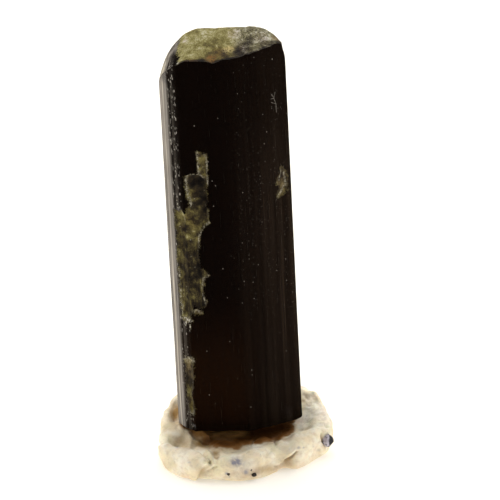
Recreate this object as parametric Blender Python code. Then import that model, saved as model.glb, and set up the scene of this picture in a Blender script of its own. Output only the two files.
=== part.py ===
"""A dark tourmaline prism standing in a pressed dab of mineral putty.

The crystal is one solid: a long prism with a bulging three-sided section and
striated faces, a rough broken crown, a broken foot and chips along its front
left edge. The putty is a second solid, pressed round the back half of the foot,
with a hollow in front of it. Four grains of grit are stuck in the putty.

Sizes below are in millimetres and are scaled by MM when a mesh is made.
The origin is on the table under the middle of the putty. +Z is up and -Y is the
side that the broad flat face of the crystal looks at.
"""

import math
import random

import bmesh
import bpy
from mathutils import Vector, noise

MM = 0.001

# ---- Crystal: a frame of its own, z along the prism, leaning with the crystal
LEAN = math.radians(2.6)
FOOT_X = -0.477
FOOT_Y = 1.3
SECTION_CORNERS = [
    (-6.28, -1.80), (-5.53, -3.15), (-4.47, -4.35), (1.05, -4.70),
    (3.77, -3.45), (5.20, -2.60), (6.28, -1.70), (6.28, -0.60),
    (5.60, 0.90), (4.00, 3.30), (2.00, 4.90), (0.40, 5.20),
    (-1.40, 4.90), (-3.20, 3.50), (-5.20, 1.00), (-6.20, -0.70),
]
SECTION_BOX = (-6.9, 6.9, -5.4, 5.9)
PRISM_LENGTH = 48.0
STRIATION_PITCH = 0.62
STRIATION_DEPTH = 0.07

# The crown: its level, the two side shoulders, the dip of its front left and its
# fall to the back.
CROWN_LEVEL = 45.38
LEFT_SHOULDER = (3.5, 4.3, 1.6)
LEFT_SHOULDER_PLANE = (-1.0, 0.0, 6.28)
RIGHT_SHOULDER = (1.9, 2.3, 2.4)
RIGHT_SHOULDER_PLANE = (0.90, 0.44, 5.39)
FRONT_DIP_LEFT = 0.95
FRONT_DIP_RIGHT = 0.42
BACK_FALL_START = 0.4
BACK_FALL_CURVE = 0.28
BACK_FALL_SLOPE = 0.9
CROWN_ROUGHNESS = 0.13
CROWN_NOTCH = (-0.7, -4.6, 0.30, 0.55)
CROWN_CELLS = (42, 34)

# The foot: a break that runs down from the front edge to the back.
FOOT_FRONT_LEVEL = 2.8
FOOT_SLOPE = 0.12
FOOT_ROUGHNESS = 0.06
FOOT_CELLS = (26, 22)

# Chips: name, middle of the chip (x, y, z), half sizes across, in and along,
# and the turn about the prism's axis in degrees.
CHIPS = [
    ("upper_sliver", (-2.35, -5.00, 32.9), (0.68, 0.74, 1.80), 0),
    ("ring_chip", (-3.15, -4.95, 30.1), (1.35, 0.90, 1.75), 0),
    ("ring_chip_edge", (-4.35, -4.60, 29.8), (0.60, 0.60, 1.50), 20),
    ("large_chip", (-3.70, -4.95, 26.4), (2.15, 0.98, 2.35), 6),
    ("large_chip_tail", (-4.10, -4.85, 24.2), (1.50, 0.90, 1.60), 8),
    ("fibrous_chip", (-3.90, -4.95, 20.4), (1.90, 0.95, 3.60), 6),
    ("fibrous_chip_foot", (-4.10, -4.85, 17.2), (1.65, 0.85, 1.50), 8),
    ("lower_sliver", (-4.85, -4.25, 8.2), (0.55, 0.62, 3.60), 20),
    ("right_flake", (5.60, -2.90, 30.8), (0.60, 0.72, 1.80), 35),
    ("corner_wear", (-5.30, -4.30, 2.6), (1.00, 0.90, 0.80), 30),
    ("back_flake_upper", (3.30, 4.80, 36.0), (1.40, 0.95, 2.60), 35),
    ("back_flake_lower", (-4.60, 2.70, 14.0), (1.10, 0.90, 2.90), -48),
]
CHIP_ROUGHNESS = 0.26

# ---- Putty: outline radius and rim height against the angle round the dab
OUTLINE = [
    (-180, 8.8), (-165, 9.2), (-150, 10.0), (-138, 10.4), (-126, 10.2),
    (-114, 9.2), (-98, 8.9), (-84, 8.5), (-70, 7.8), (-59, 7.2),
    (-50, 8.2), (-33, 8.3), (-18, 8.8), (0, 8.9), (17, 8.6),
    (35, 8.6), (50, 8.7), (70, 8.7), (90, 8.6), (118, 8.5),
    (138, 8.8), (160, 8.8),
]
RIM_HEIGHT = [
    (-180, 2.3), (-152, 1.8), (-128, 2.1), (-104, 2.4), (-80, 2.5),
    (-62, 2.2), (-42, 2.6), (-20, 2.8), (8, 2.6), (30, 3.0),
    (55, 2.8), (90, 3.0), (130, 2.7), (158, 2.4),
]
RIM_ROUNDING = 0.95
RIM_START = -40.0
DISH_LEVEL = 1.5
DISH_EDGE = 0.58
RIM_CREST = 0.84
MOUND = (0.2, 3.6, 1.9, 6.2, 4.0)

# Lumps and dimples: middle (x, y, z), radius, height (negative is a dimple).
LUMPS = [
    ((-7.3, 1.6, 2.2), 0.95, -0.75),
    ((-6.6, -3.9, 2.0), 1.10, -0.60),
    ((-6.8, -1.9, 2.2), 0.80, 0.35),
    ((-5.6, -6.6, 2.2), 1.30, 0.30),
    ((-4.1, -7.5, 2.5), 0.75, 0.45),
    ((-3.5, -8.6, 1.3), 0.60, -0.40),
    ((-3.5, -6.2, 2.0), 0.70, -0.35),
    ((1.6, -5.6, 2.2), 0.90, 0.50),
    ((3.0, -5.2, 2.2), 0.60, -0.40),
    ((5.6, -4.6, 2.5), 1.10, 0.35),
    ((3.9, -7.6, 1.1), 0.65, -0.45),
    ((7.2, 3.5, 3.0), 0.90, 0.55),
    ((6.6, 3.9, 2.6), 0.50, -0.55),
    ((6.9, -1.0, 2.4), 1.20, -0.30),
    ((-7.6, 4.4, 2.6), 1.20, 0.35),
    ((3.8, 7.6, 2.8), 1.20, 0.40),
    ((-3.0, 7.9, 2.6), 1.30, 0.35),
    ((0.8, 8.6, 1.4), 1.00, -0.45),
]

# Creases: one end, other end, width, depth.
CREASES = [
    ((-2.9, -8.3, 2.0), (-4.5, -8.7, 1.2), 0.32, 0.40),
    ((-4.5, -8.7, 1.2), (-5.0, -8.7, 0.2), 0.32, 0.40),
    ((-4.6, -7.2, 2.5), (-3.2, -8.3, 2.2), 0.25, 0.30),
    ((-7.8, -5.4, 2.0), (-5.2, -6.0, 2.3), 0.30, -0.25),
    ((5.1, -6.4, 2.4), (4.1, -7.1, 1.6), 0.35, 0.45),
    ((3.6, -4.6, 2.3), (7.4, -4.1, 2.9), 0.30, 0.25),
    ((-8.6, 1.0, 0.8), (-7.6, 4.0, 2.4), 0.35, 0.25),
    ((6.0, 6.2, 2.6), (5.4, 7.2, 0.6), 0.40, 0.40),
    ((-6.4, 6.4, 2.2), (-4.2, 6.6, 2.8), 0.35, 0.30),
]
PUTTY_UNEVENNESS = 0.10
PUTTY_SEGMENTS = 84
PUTTY_RINGS = 28
BOTTOM_RINGS = 0.16
SIDE_RINGS = 0.44

# ---- Grit: name, middle (x, y, z), half sizes (x, y, z), turn in degrees
GRIT = [
    ("grit_right", (8.10, -3.10, 1.55), (0.50, 0.60, 0.66), 24),
    ("grit_front_upper", (0.43, -8.30, 1.20), (0.24, 0.30, 0.30), 10),
    ("grit_front_lower", (0.78, -8.45, 0.60), (0.26, 0.30, 0.24), -20),
    ("grit_front_left", (-1.83, -8.60, 0.85), (0.20, 0.26, 0.22), 35),
]

FIT_GAP = 0.3
GRIT_GAP = 0.12

COLOURS = {
    "crystal": ((0.010, 0.006, 0.004), 0.25),
    "putty": ((0.52, 0.42, 0.29), 0.62),
    "grit_right": ((0.30, 0.27, 0.31), 0.60),
    "grit": ((0.06, 0.04, 0.03), 0.55),
}


# ---- Scene set-up and small helpers

def clear_scene():
    """Remove every object, so that the part starts from an empty scene."""
    for old in list(bpy.data.objects):
        bpy.data.objects.remove(old, do_unlink=True)


def make_collection(name):
    """Return a new collection that is linked to the scene."""
    collection = bpy.data.collections.new(name)
    bpy.context.scene.collection.children.link(collection)
    return collection


def make_material(name):
    """Return a Principled material with the colour and roughness of one sub-part."""
    colour, roughness = COLOURS[name]
    material = bpy.data.materials.new(name)
    material.use_nodes = True
    shader = material.node_tree.nodes["Principled BSDF"]
    shader.inputs["Base Color"].default_value = (*colour, 1.0)
    shader.inputs["Roughness"].default_value = roughness
    shader.inputs["Metallic"].default_value = 0.0
    return material


def object_from_bmesh(name, bm, collection, parent=None):
    """Turn a bmesh in millimetres into an object in metres, faces outward."""
    bmesh.ops.recalc_face_normals(bm, faces=bm.faces[:])
    bmesh.ops.triangulate(bm, faces=bm.faces[:])
    bmesh.ops.scale(bm, vec=(MM, MM, MM), verts=bm.verts[:])
    mesh = bpy.data.meshes.new(name)
    bm.to_mesh(mesh)
    bm.free()
    made = bpy.data.objects.new(name, mesh)
    collection.objects.link(made)
    made.parent = parent
    return made


def mark_as_cutter(cutter):
    """Show a cutter as a wire and keep it out of renders."""
    cutter.hide_render = True
    cutter.display_type = "WIRE"


def add_difference(target, cutter):
    """Cut a cutter out of a target with a live Boolean."""
    modifier = target.modifiers.new("cut_" + cutter.name, "BOOLEAN")
    modifier.operation = "DIFFERENCE"
    modifier.solver = "EXACT"
    modifier.object = cutter


def smoothstep(low, high, value):
    """0 below low, 1 above high and an S-curve between them."""
    t = min(max((value - low) / (high - low), 0.0), 1.0)
    return t * t * (3.0 - 2.0 * t)


def read_table(table, angle):
    """A smooth value between the (angle, value) pairs of a closed table."""
    count = len(table)
    upper = next((i for i in range(count) if table[i][0] > angle), count)
    picks = [(upper + k) % count for k in (-2, -1, 0, 1)]
    before, start, end, after = (table[i][1] for i in picks)
    start_angle = table[picks[1]][0]
    span = (table[picks[2]][0] - start_angle) % 360.0
    t = ((angle - start_angle) % 360.0) / span
    rise = 0.5 * (end - before)
    run_out = 0.5 * (after - start)
    return ((2 * t**3 - 3 * t**2 + 1) * start + (t**3 - 2 * t**2 + t) * rise
            + (3 * t**2 - 2 * t**3) * end + (t**3 - t**2) * run_out)


def rough(x, y, z, size, octaves=3):
    """Fractal noise of about -1 to 1 whose lumps are `size` millimetres wide."""
    return noise.fractal(Vector((x, y, z)) / size, 1.0, 2.0, octaves)


# ---- Crystal

def section_outline(grow):
    """The prism's section: flat runs between corners, stepped by fine striations.

    Each point between two corners sits inward by a random part of the striation
    depth. grow moves the corners outward, for the socket that the foot sits in.
    """
    steps = random.Random(7)
    points = []
    for index, (x0, y0) in enumerate(SECTION_CORNERS):
        x1, y1 = SECTION_CORNERS[(index + 1) % len(SECTION_CORNERS)]
        length = math.hypot(x1 - x0, y1 - y0)
        count = max(1, round(length / STRIATION_PITCH))
        inward_x = -(y1 - y0) / length
        inward_y = (x1 - x0) / length
        for step in range(count):
            depth = steps.uniform(0.0, STRIATION_DEPTH) if step else 0.0
            t = step / count
            x = x0 + (x1 - x0) * t + inward_x * depth
            y = y0 + (y1 - y0) * t + inward_y * depth
            radius = math.hypot(x, y)
            points.append((x * (1 + grow / radius), y * (1 + grow / radius)))
    return points


def make_prism(name, grow, collection, parent):
    """Extrude the section into a closed prism from z = 0 to its full length."""
    curve = bpy.data.curves.new(name + "_outline", "CURVE")
    curve.dimensions = "2D"
    curve.fill_mode = "BOTH"
    curve.extrude = PRISM_LENGTH * MM / 2
    outline = section_outline(grow)
    spline = curve.splines.new("POLY")
    spline.points.add(len(outline) - 1)
    for point, (x, y) in zip(spline.points, outline):
        point.co = (x * MM, y * MM, 0.0, 1.0)
    spline.use_cyclic_u = True
    sketch = bpy.data.objects.new(name + "_sketch", curve)
    collection.objects.link(sketch)
    sketch.parent = parent
    sketch.location.z = PRISM_LENGTH * MM / 2
    bpy.context.view_layer.update()
    evaluated = sketch.evaluated_get(bpy.context.evaluated_depsgraph_get())
    mesh = bpy.data.meshes.new_from_object(evaluated)
    bm = bmesh.new()
    bm.from_mesh(mesh)
    bmesh.ops.remove_doubles(bm, verts=bm.verts[:], dist=0.0001 * MM)
    bmesh.ops.recalc_face_normals(bm, faces=bm.faces[:])
    bm.to_mesh(mesh)
    bm.free()
    prism = bpy.data.objects.new(name, mesh)
    collection.objects.link(prism)
    prism.parent = parent
    prism.matrix_world = sketch.matrix_world
    bpy.data.objects.remove(sketch, do_unlink=True)
    return prism


def shoulder_drop(x, y, plane, shoulder):
    """How far a rounded shoulder lies below the crown, from its side plane inward."""
    facing_x, facing_y, offset = plane
    width, height, power = shoulder
    distance = offset - facing_x * x - facing_y * y
    t = min(max(distance / width, 0.0), 1.0)
    return height * (1.0 - (1.0 - (1.0 - t) ** power) ** (1.0 / power))


def crown_level(x, y):
    """The height of the broken crown over a point of the section."""
    level = CROWN_LEVEL
    level -= shoulder_drop(x, y, LEFT_SHOULDER_PLANE, LEFT_SHOULDER)
    level -= shoulder_drop(x, y, RIGHT_SHOULDER_PLANE, RIGHT_SHOULDER)
    dip = FRONT_DIP_LEFT + (FRONT_DIP_RIGHT - FRONT_DIP_LEFT) * smoothstep(-1.8, 2.8, x)
    level -= dip * smoothstep(0.6, -4.2, y)
    behind = max(0.0, y - BACK_FALL_START)
    bend = BACK_FALL_SLOPE / (2 * BACK_FALL_CURVE)
    level -= BACK_FALL_CURVE * min(behind, bend) ** 2
    level -= BACK_FALL_SLOPE * max(0.0, behind - bend)
    notch_x, notch_y, depth, width = CROWN_NOTCH
    distance = math.hypot(x - notch_x, y - notch_y)
    level -= depth * math.exp(-((distance / width) ** 2))
    return level + CROWN_ROUGHNESS * rough(x, y, 3.7, 1.4)


def foot_level(x, y):
    """The height of the broken foot over a point of the section."""
    front = SECTION_CORNERS[3][1]
    level = FOOT_FRONT_LEVEL - FOOT_SLOPE * (y - front)
    return level + FOOT_ROUGHNESS * rough(x, y, 8.1, 1.8)


def make_break_cutter(name, level, cells, far_level, collection, parent):
    """A block whose near side is the broken surface z = level(x, y)."""
    left, right, front, back = SECTION_BOX
    bm = bmesh.new()
    bmesh.ops.create_grid(bm, x_segments=cells[0], y_segments=cells[1], size=0.5)
    for vertex in bm.verts:
        x = left + (right - left) * (vertex.co.x + 0.5)
        y = front + (back - front) * (vertex.co.y + 0.5)
        vertex.co = (x, y, level(x, y))
    grown = bmesh.ops.extrude_face_region(bm, geom=bm.faces[:])
    for item in grown["geom"]:
        if isinstance(item, bmesh.types.BMVert):
            item.co.z = far_level
    cutter = object_from_bmesh(name, bm, collection, parent)
    mark_as_cutter(cutter)
    return cutter


def make_chip_cutter(chip, collection, parent):
    """A lumpy pebble that bites one chip out of the prism's side."""
    name, middle, half, turn = chip
    bm = bmesh.new()
    bmesh.ops.create_icosphere(bm, subdivisions=3, radius=1.0)
    for vertex in bm.verts:
        x, y, z = vertex.co
        lump = 1.0 + CHIP_ROUGHNESS * rough(x + middle[0], y, z + middle[2], 0.9)
        vertex.co = Vector((x * half[0], y * half[1], z * half[2])) * lump
    cutter = object_from_bmesh("chip_" + name, bm, collection, parent)
    cutter.location = Vector(middle) * MM
    cutter.rotation_euler.z = math.radians(turn)
    mark_as_cutter(cutter)
    return cutter


def make_crystal(parts, cutters, axis):
    """The prism, cut by its crown, its foot and its chips."""
    crystal = make_prism("crystal", 0.0, parts, axis)
    crown = make_break_cutter("crown_break", crown_level, CROWN_CELLS,
                              PRISM_LENGTH + 2.0, cutters, axis)
    foot = make_break_cutter("foot_break", foot_level, FOOT_CELLS, -2.0, cutters, axis)
    add_difference(crystal, crown)
    add_difference(crystal, foot)
    for chip in CHIPS:
        add_difference(crystal, make_chip_cutter(chip, cutters, axis))
    crystal.data.materials.append(make_material("crystal"))
    return crystal


def make_socket(cutters, axis):
    """The room that the foot takes up in the putty, with the fit gap all round."""
    socket = make_prism("crystal_socket", FIT_GAP, cutters, axis)
    lowered = make_break_cutter("socket_floor", lambda x, y: foot_level(x, y) - FIT_GAP,
                                FOOT_CELLS, -2.0, cutters, axis)
    add_difference(socket, lowered)
    mark_as_cutter(socket)
    return socket


# ---- Putty

def dab_height(x, y, radius, rim):
    """The height of the dab's top: a dish inside the rim, and a mound behind."""
    u = math.hypot(x, y) / radius
    dish = DISH_LEVEL + (rim - DISH_LEVEL) * smoothstep(DISH_EDGE, RIM_CREST, u)
    middle_x, middle_y, height, half_x, half_y = MOUND
    across = math.hypot((x - middle_x) / half_x, (y - middle_y) / half_y)
    return dish + height * (1.0 - smoothstep(0.35, 1.15, across))


def dab_point(angle, t):
    """A point on the undented dab: t runs up the side and in over the top.

    t = 0 is the foot of the side, t = 1 the rim's crest line and t = 2 the middle.
    """
    radius = read_table(OUTLINE, angle)
    rim = read_table(RIM_HEIGHT, angle)
    direction = Vector((math.cos(math.radians(angle)), math.sin(math.radians(angle)), 0))
    shoulder = radius - RIM_ROUNDING
    if t <= 1.0:
        turn = math.radians(RIM_START + (90.0 - RIM_START) * t)
        crest = dab_height(direction.x * shoulder, direction.y * shoulder, radius, rim)
        low = math.sin(math.radians(RIM_START))
        rise = (math.sin(turn) - low) / (1.0 - low)
        point = direction * (shoulder + RIM_ROUNDING * math.cos(turn) ** 0.8)
        point.z = crest * rise
        return point
    point = direction * (shoulder * (2.0 - t))
    point.z = dab_height(point.x, point.y, radius, rim)
    return point


def segment_distance(point, start, end):
    """The distance from a point to a straight segment."""
    along = end - start
    t = min(max((point - start).dot(along) / along.length_squared, 0.0), 1.0)
    return (point - start - along * t).length


def dent(point):
    """How far the lumps, creases and unevenness move a point of the dab outward."""
    move = PUTTY_UNEVENNESS * rough(point.x, point.y, point.z, 2.2)
    for middle, radius, height in LUMPS:
        distance = (point - Vector(middle)).length
        move += height * math.exp(-((distance / radius) ** 2))
    for start, end, width, depth in CREASES:
        distance = segment_distance(point, Vector(start), Vector(end))
        move -= depth * math.exp(-((distance / width) ** 2))
    return move


def putty_point(angle, t):
    """A point on the finished dab, moved along the way that the surface faces."""
    point = dab_point(angle, t)
    step = 0.04
    up_slope = dab_point(angle, min(t + step, 1.98)) - dab_point(angle, max(t - step, 0))
    around = dab_point(angle + 1.0, t) - dab_point(angle - 1.0, t)
    facing = around.cross(up_slope)
    if facing.length > 0:
        point = point + facing.normalized() * dent(point)
    point.z = max(point.z, 0.0)
    if t <= 0.0:
        point.z = 0.0
    return point


def make_putty(parts, cutters, axis):
    """Push a sphere into the dab's shape, then cut the sockets out of it."""
    bm = bmesh.new()
    bmesh.ops.create_uvsphere(bm, u_segments=PUTTY_SEGMENTS, v_segments=PUTTY_RINGS,
                              radius=1.0)
    for vertex in bm.verts:
        angle = math.degrees(math.atan2(vertex.co.y, vertex.co.x))
        ring = 0.5 + math.asin(max(-1.0, min(1.0, vertex.co.z))) / math.pi
        if ring < BOTTOM_RINGS:
            edge = putty_point(angle, 0.0)
            vertex.co = edge * (ring / BOTTOM_RINGS)
        elif ring < SIDE_RINGS:
            vertex.co = putty_point(angle, (ring - BOTTOM_RINGS) / (SIDE_RINGS - BOTTOM_RINGS))
        else:
            vertex.co = putty_point(angle, 1.0 + (ring - SIDE_RINGS) / (1.0 - SIDE_RINGS))
    putty = object_from_bmesh("putty", bm, parts)
    putty.data.materials.append(make_material("putty"))
    putty.data.shade_smooth()
    add_difference(putty, make_socket(cutters, axis))
    return putty


# ---- Grit

def make_grain(name, middle, half, turn, grow, collection):
    """An angular grain: a coarse ball with its corners pushed in and out."""
    jitter = random.Random(len(name) + round(middle[0] * 10))
    bm = bmesh.new()
    bmesh.ops.create_icosphere(bm, subdivisions=2, radius=1.0)
    for vertex in bm.verts:
        push = jitter.uniform(0.82, 1.08)
        vertex.co = Vector([c * (h * push + grow) for c, h in zip(vertex.co, half)])
    grain = object_from_bmesh(name, bm, collection)
    grain.location = Vector(middle) * MM
    grain.rotation_euler.z = math.radians(turn)
    return grain


def make_grit(parts, cutters, putty):
    """Each grain, and the pocket that it sits in with a thin gap round it."""
    for name, middle, half, turn in GRIT:
        grain = make_grain(name, middle, half, turn, 0.0, parts)
        kind = name if name in COLOURS else "grit"
        grain.data.materials.append(make_material(kind))
        pocket = make_grain(name + "_pocket", middle, half, turn, GRIT_GAP, cutters)
        mark_as_cutter(pocket)
        add_difference(putty, pocket)


def main():
    """Build the whole specimen."""
    clear_scene()
    parts = make_collection("tourmaline_crystal")
    cutters = make_collection("cutters")
    axis = bpy.data.objects.new("crystal_axis", None)
    parts.objects.link(axis)
    axis.location = (FOOT_X * MM, FOOT_Y * MM, 0.0)
    axis.rotation_euler.y = -LEAN
    make_crystal(parts, cutters, axis)
    putty = make_putty(parts, cutters, axis)
    make_grit(parts, cutters, putty)


main()
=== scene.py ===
# %% [markdown]
# # A tourmaline crystal in a dab of putty
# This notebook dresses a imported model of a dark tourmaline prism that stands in
# a pressed dab of cream putty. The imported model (the frame) holds the sizes and
# what touches what. Here each solid gets the surface that the eye expects:
# fine striations, a crushed green crown, chips, folds and finger marks.
# All shapes are numbers in millimetres until a mesh is made, because a crystal
# this small is easiest to think about in millimetres.

import math

import bpy
import numpy as np
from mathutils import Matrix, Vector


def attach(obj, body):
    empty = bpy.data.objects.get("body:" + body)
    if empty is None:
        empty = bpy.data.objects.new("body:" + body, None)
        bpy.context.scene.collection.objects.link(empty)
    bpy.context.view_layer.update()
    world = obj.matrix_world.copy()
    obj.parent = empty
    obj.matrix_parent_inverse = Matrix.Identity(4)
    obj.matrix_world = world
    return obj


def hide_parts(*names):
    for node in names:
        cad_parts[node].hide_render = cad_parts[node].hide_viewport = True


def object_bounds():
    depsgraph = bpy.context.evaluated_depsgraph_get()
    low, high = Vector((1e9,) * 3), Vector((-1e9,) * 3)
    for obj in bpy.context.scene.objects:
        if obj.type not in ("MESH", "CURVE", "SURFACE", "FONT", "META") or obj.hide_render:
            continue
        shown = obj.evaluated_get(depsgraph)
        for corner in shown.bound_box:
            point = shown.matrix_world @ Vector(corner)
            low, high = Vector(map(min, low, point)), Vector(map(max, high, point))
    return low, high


MM = 0.001
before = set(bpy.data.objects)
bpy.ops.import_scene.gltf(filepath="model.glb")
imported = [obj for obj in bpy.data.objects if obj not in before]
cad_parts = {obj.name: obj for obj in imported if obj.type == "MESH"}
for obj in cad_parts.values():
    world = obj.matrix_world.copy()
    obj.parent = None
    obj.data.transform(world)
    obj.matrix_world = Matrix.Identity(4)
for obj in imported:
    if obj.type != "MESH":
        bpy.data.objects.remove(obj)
cad_low, cad_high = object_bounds()
print("CAD box in mm:", [round(v / MM, 2) for v in (*cad_low, *cad_high)])

# %% [markdown]
# ## The camera
# Small specimens are photographed from far away with a long lens, so that the
# prism's edges stay parallel. The camera stands 600 mm away and looks down by
# 28 degrees at a point just below the middle of the specimen.

# %% Place the camera
VIEW_DOWN = math.radians(28.0)
VIEW_DISTANCE = 600.0
VIEW_TARGET = (0.375, 0.0, 21.7)
LENS_MM = 432.0
SENSOR_MM = 36.0


def place_camera():
    """Put the camera straight in front (-Y), raised by the viewing angle."""
    lens = bpy.data.cameras.new("camera")
    lens.lens = LENS_MM
    lens.sensor_width = SENSOR_MM
    lens.clip_start = 0.01
    lens.clip_end = 20.0
    camera = bpy.data.objects.new("camera", lens)
    bpy.context.scene.collection.objects.link(camera)
    back = VIEW_DISTANCE * math.cos(VIEW_DOWN)
    rise = VIEW_DISTANCE * math.sin(VIEW_DOWN)
    x, y, z = VIEW_TARGET
    camera.location = (x * MM, (y - back) * MM, (z + rise) * MM)
    camera.rotation_euler = (math.pi / 2 - VIEW_DOWN, 0.0, 0.0)
    bpy.context.scene.camera = camera
    return camera


camera = place_camera()
print("camera at", [round(v, 3) for v in camera.location])

# %% [markdown]
# ## Noise without textures
# Stone and putty are never smooth. A noise field could come from an image, from
# Blender's own noise one vertex at a time, or from arrays. Arrays are quick: the
# field below works on a hundred thousand points at once. Space is cut into unit
# cubes, each corner gets a fixed pseudo-random value, and values in between are
# blended smoothly.

# %% Noise on whole arrays
def corner_value(ix, iy, iz, seed):
    """A fixed value of -1 to 1 for each lattice corner, by mixing its integers."""
    h = ix.astype(np.uint32) * np.uint32(374761393)
    h = h + iy.astype(np.uint32) * np.uint32(668265263)
    h = h + iz.astype(np.uint32) * np.uint32(2246822519)
    h = h + np.uint32((seed * 3266489917) & 0xFFFFFFFF)
    h = (h ^ (h >> np.uint32(15))) * np.uint32(2246822519)
    h = (h ^ (h >> np.uint32(13))) * np.uint32(3266489917)
    h = h ^ (h >> np.uint32(16))
    return h.astype(np.float64) / 2147483648.0 - 1.0


def noise3(points, seed):
    """Blend the eight corner values round each point with 6t^5 - 15t^4 + 10t^3."""
    base = np.floor(points)
    f = points - base
    f = f * f * f * (f * (f * 6.0 - 15.0) + 10.0)
    i = base.astype(np.int64)
    total = 0.0
    for dx in (0, 1):
        wx = f[..., 0] if dx else 1.0 - f[..., 0]
        for dy in (0, 1):
            wy = f[..., 1] if dy else 1.0 - f[..., 1]
            for dz in (0, 1):
                wz = f[..., 2] if dz else 1.0 - f[..., 2]
                value = corner_value(i[..., 0] + dx, i[..., 1] + dy, i[..., 2] + dz, seed)
                total = total + wx * wy * wz * value
    return total


def rough(points, size, seed, octaves=3):
    """Sum noise of lump width `size`, then half that width at half strength, and so on."""
    total = 0.0
    strength = 1.0
    for octave in range(octaves):
        shift = 17.3 * (octave + 1)
        total = total + strength * noise3(points / size * 2.0**octave + shift, seed + octave)
        strength *= 0.5
    return total


def stack(x, y, z):
    """Join three arrays into one array of points."""
    return np.stack(np.broadcast_arrays(x, y, z), axis=-1).astype(np.float64)


def smoothstep(low, high, value):
    """0 below low, 1 above high and 3t^2 - 2t^3 between; low may be above high."""
    t = np.clip((value - low) / (high - low), 0.0, 1.0)
    return t * t * (3.0 - 2.0 * t)


def bell(away, width):
    """1 at a distance of 0, falling as exp(-(away / width)^2)."""
    return np.exp(-((away / width) ** 2))


sample = rough(np.random.default_rng(1).uniform(0, 50, (4000, 3)), 1.0, 5)
print("noise spans", round(sample.min(), 2), "to", round(sample.max(), 2))

# %% [markdown]
# ## Rings into a closed skin
# Both the crystal and the putty are closed skins swept by rings: ring after ring
# of points, from one pole to the other. One helper turns such an array into a
# mesh, so that every shape below is only a formula for its points.

# %% Close a stack of rings
def skin_from_rings(name, rings, first_pole, last_pole):
    """Quads between neighbouring rings and a fan of triangles at each pole.

    rings has the shape (rings, points round, 3), in millimetres, and runs so that
    (round) x (along) points outward.
    """
    count, around, _ = rings.shape
    index = np.arange(count * around).reshape(count, around)
    here = index[:-1]
    above = index[1:]
    quads = np.stack([here, np.roll(here, -1, 1), np.roll(above, -1, 1), above], -1)
    start = count * around
    end = start + 1
    first = index[0]
    last = index[-1]
    fan_in = np.stack([np.full(around, start), np.roll(first, -1), first], -1)
    fan_out = np.stack([np.full(around, end), last, np.roll(last, -1)], -1)
    faces = quads.reshape(-1, 4).tolist() + fan_in.tolist() + fan_out.tolist()
    points = np.concatenate([rings.reshape(-1, 3), [first_pole], [last_pole]])
    mesh = bpy.data.meshes.new(name)
    mesh.from_pydata((points * MM).tolist(), [], faces)
    mesh.update()
    piece = bpy.data.objects.new(name, mesh)
    bpy.context.scene.collection.objects.link(piece)
    return piece


def store_values(piece, name, values):
    """Keep one number for each vertex, which a material can read by its name."""
    attribute = piece.data.attributes.new(name, "FLOAT", "POINT")
    attribute.data.foreach_set("value", values.astype(np.float32).ravel())


def spread(density, count):
    """count places from 0 to 1 whose spacing follows the inverse of a density table."""
    places, weights = np.array(density, float).T
    fine = np.linspace(0.0, 1.0, 4001)
    area = np.cumsum(np.interp(fine, places, weights))
    area = (area - area[0]) / (area[-1] - area[0])
    return np.interp(np.linspace(0.0, 1.0, count), area, fine)


print("five places, closer towards the end:", spread([(0.0, 1.0), (1.0, 3.0)], 5).round(2))

# %% [markdown]
# ## The prism's section
# Tourmaline grows as a three-sided prism whose sides bulge and break up into
# long striations. The section is a list of corners. The two edges beside the
# broad front face stay sharp; round the right side and the back the corners are
# worn, so there the outline is blended with a smoothed copy of itself.

# %% Section of the prism
LEAN = math.radians(2.6)
FOOT_X = -0.477
FOOT_Y = 1.3
SECTION_CORNERS = [
    (-6.28, -1.8), (-5.53, -3.15), (-4.47, -4.35), (1.05, -4.7), (3.77, -3.45), (5.2, -2.6),
    (6.28, -1.7), (6.28, -0.6), (5.6, 0.9), (4.0, 3.3), (2.0, 4.9), (0.4, 5.2), (-1.4, 4.9),
    (-3.2, 3.5), (-5.2, 1.0), (-6.2, -0.7),
]
SHARP_CORNERS = (0, 1, 2)
WORN_WIDTH = 0.55
WORN_FROM = (0.6, 2.4)
AROUND = 392
FINE = 4096
# share of the way round -> how closely the points stand there
AROUND_DENSITY = [
    (0.0, 2.4), (0.09, 2.4), (0.17, 2.0), (0.2, 1.1), (0.45, 1.2), (0.52, 0.75), (0.94, 0.75),
    (0.97, 1.6), (1.0, 2.4),
]


def to_world(points):
    """Turn points of the crystal's own frame by its lean and set them on its foot."""
    x, y, z = points[..., 0], points[..., 1], points[..., 2]
    wx = FOOT_X + x * math.cos(LEAN) - z * math.sin(LEAN)
    wz = x * math.sin(LEAN) + z * math.cos(LEAN)
    return stack(wx, y + FOOT_Y, wz)


def walk_outline(places):
    """Points at shares of the outline's length, worn ones pulled to a smoothed copy."""
    corners = np.array(SECTION_CORNERS)
    closed = np.vstack([corners, corners[:1]])
    length = np.concatenate([[0.0], np.cumsum(np.hypot(*np.diff(closed, axis=0).T))])
    total = length[-1]
    fine = np.arange(FINE) / FINE * total
    line = np.stack([np.interp(fine, length, closed[:, k]) for k in (0, 1)], 1)
    away = np.minimum(fine, total - fine)
    kernel = bell(away, WORN_WIDTH)
    kernel = np.fft.rfft(kernel / kernel.sum())
    soft = np.stack([np.fft.irfft(np.fft.rfft(line[:, k]) * kernel, FINE) for k in (0, 1)], 1)
    gap = np.full(FINE, total)
    for corner in SHARP_CORNERS:
        apart = np.abs(fine - length[corner])
        gap = np.minimum(gap, np.minimum(apart, total - apart))
    wear = smoothstep(*WORN_FROM, gap)[:, None]
    line = line * (1.0 - wear) + soft * wear
    s = places * total
    return s, np.stack([np.interp(s, fine, line[:, k], period=total) for k in (0, 1)], 1)


walk, section = walk_outline(spread(AROUND_DENSITY, AROUND + 1)[:-1])
print("section:", len(section), "points,", np.round(np.ptp(section, axis=0), 2), "mm across")

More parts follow.
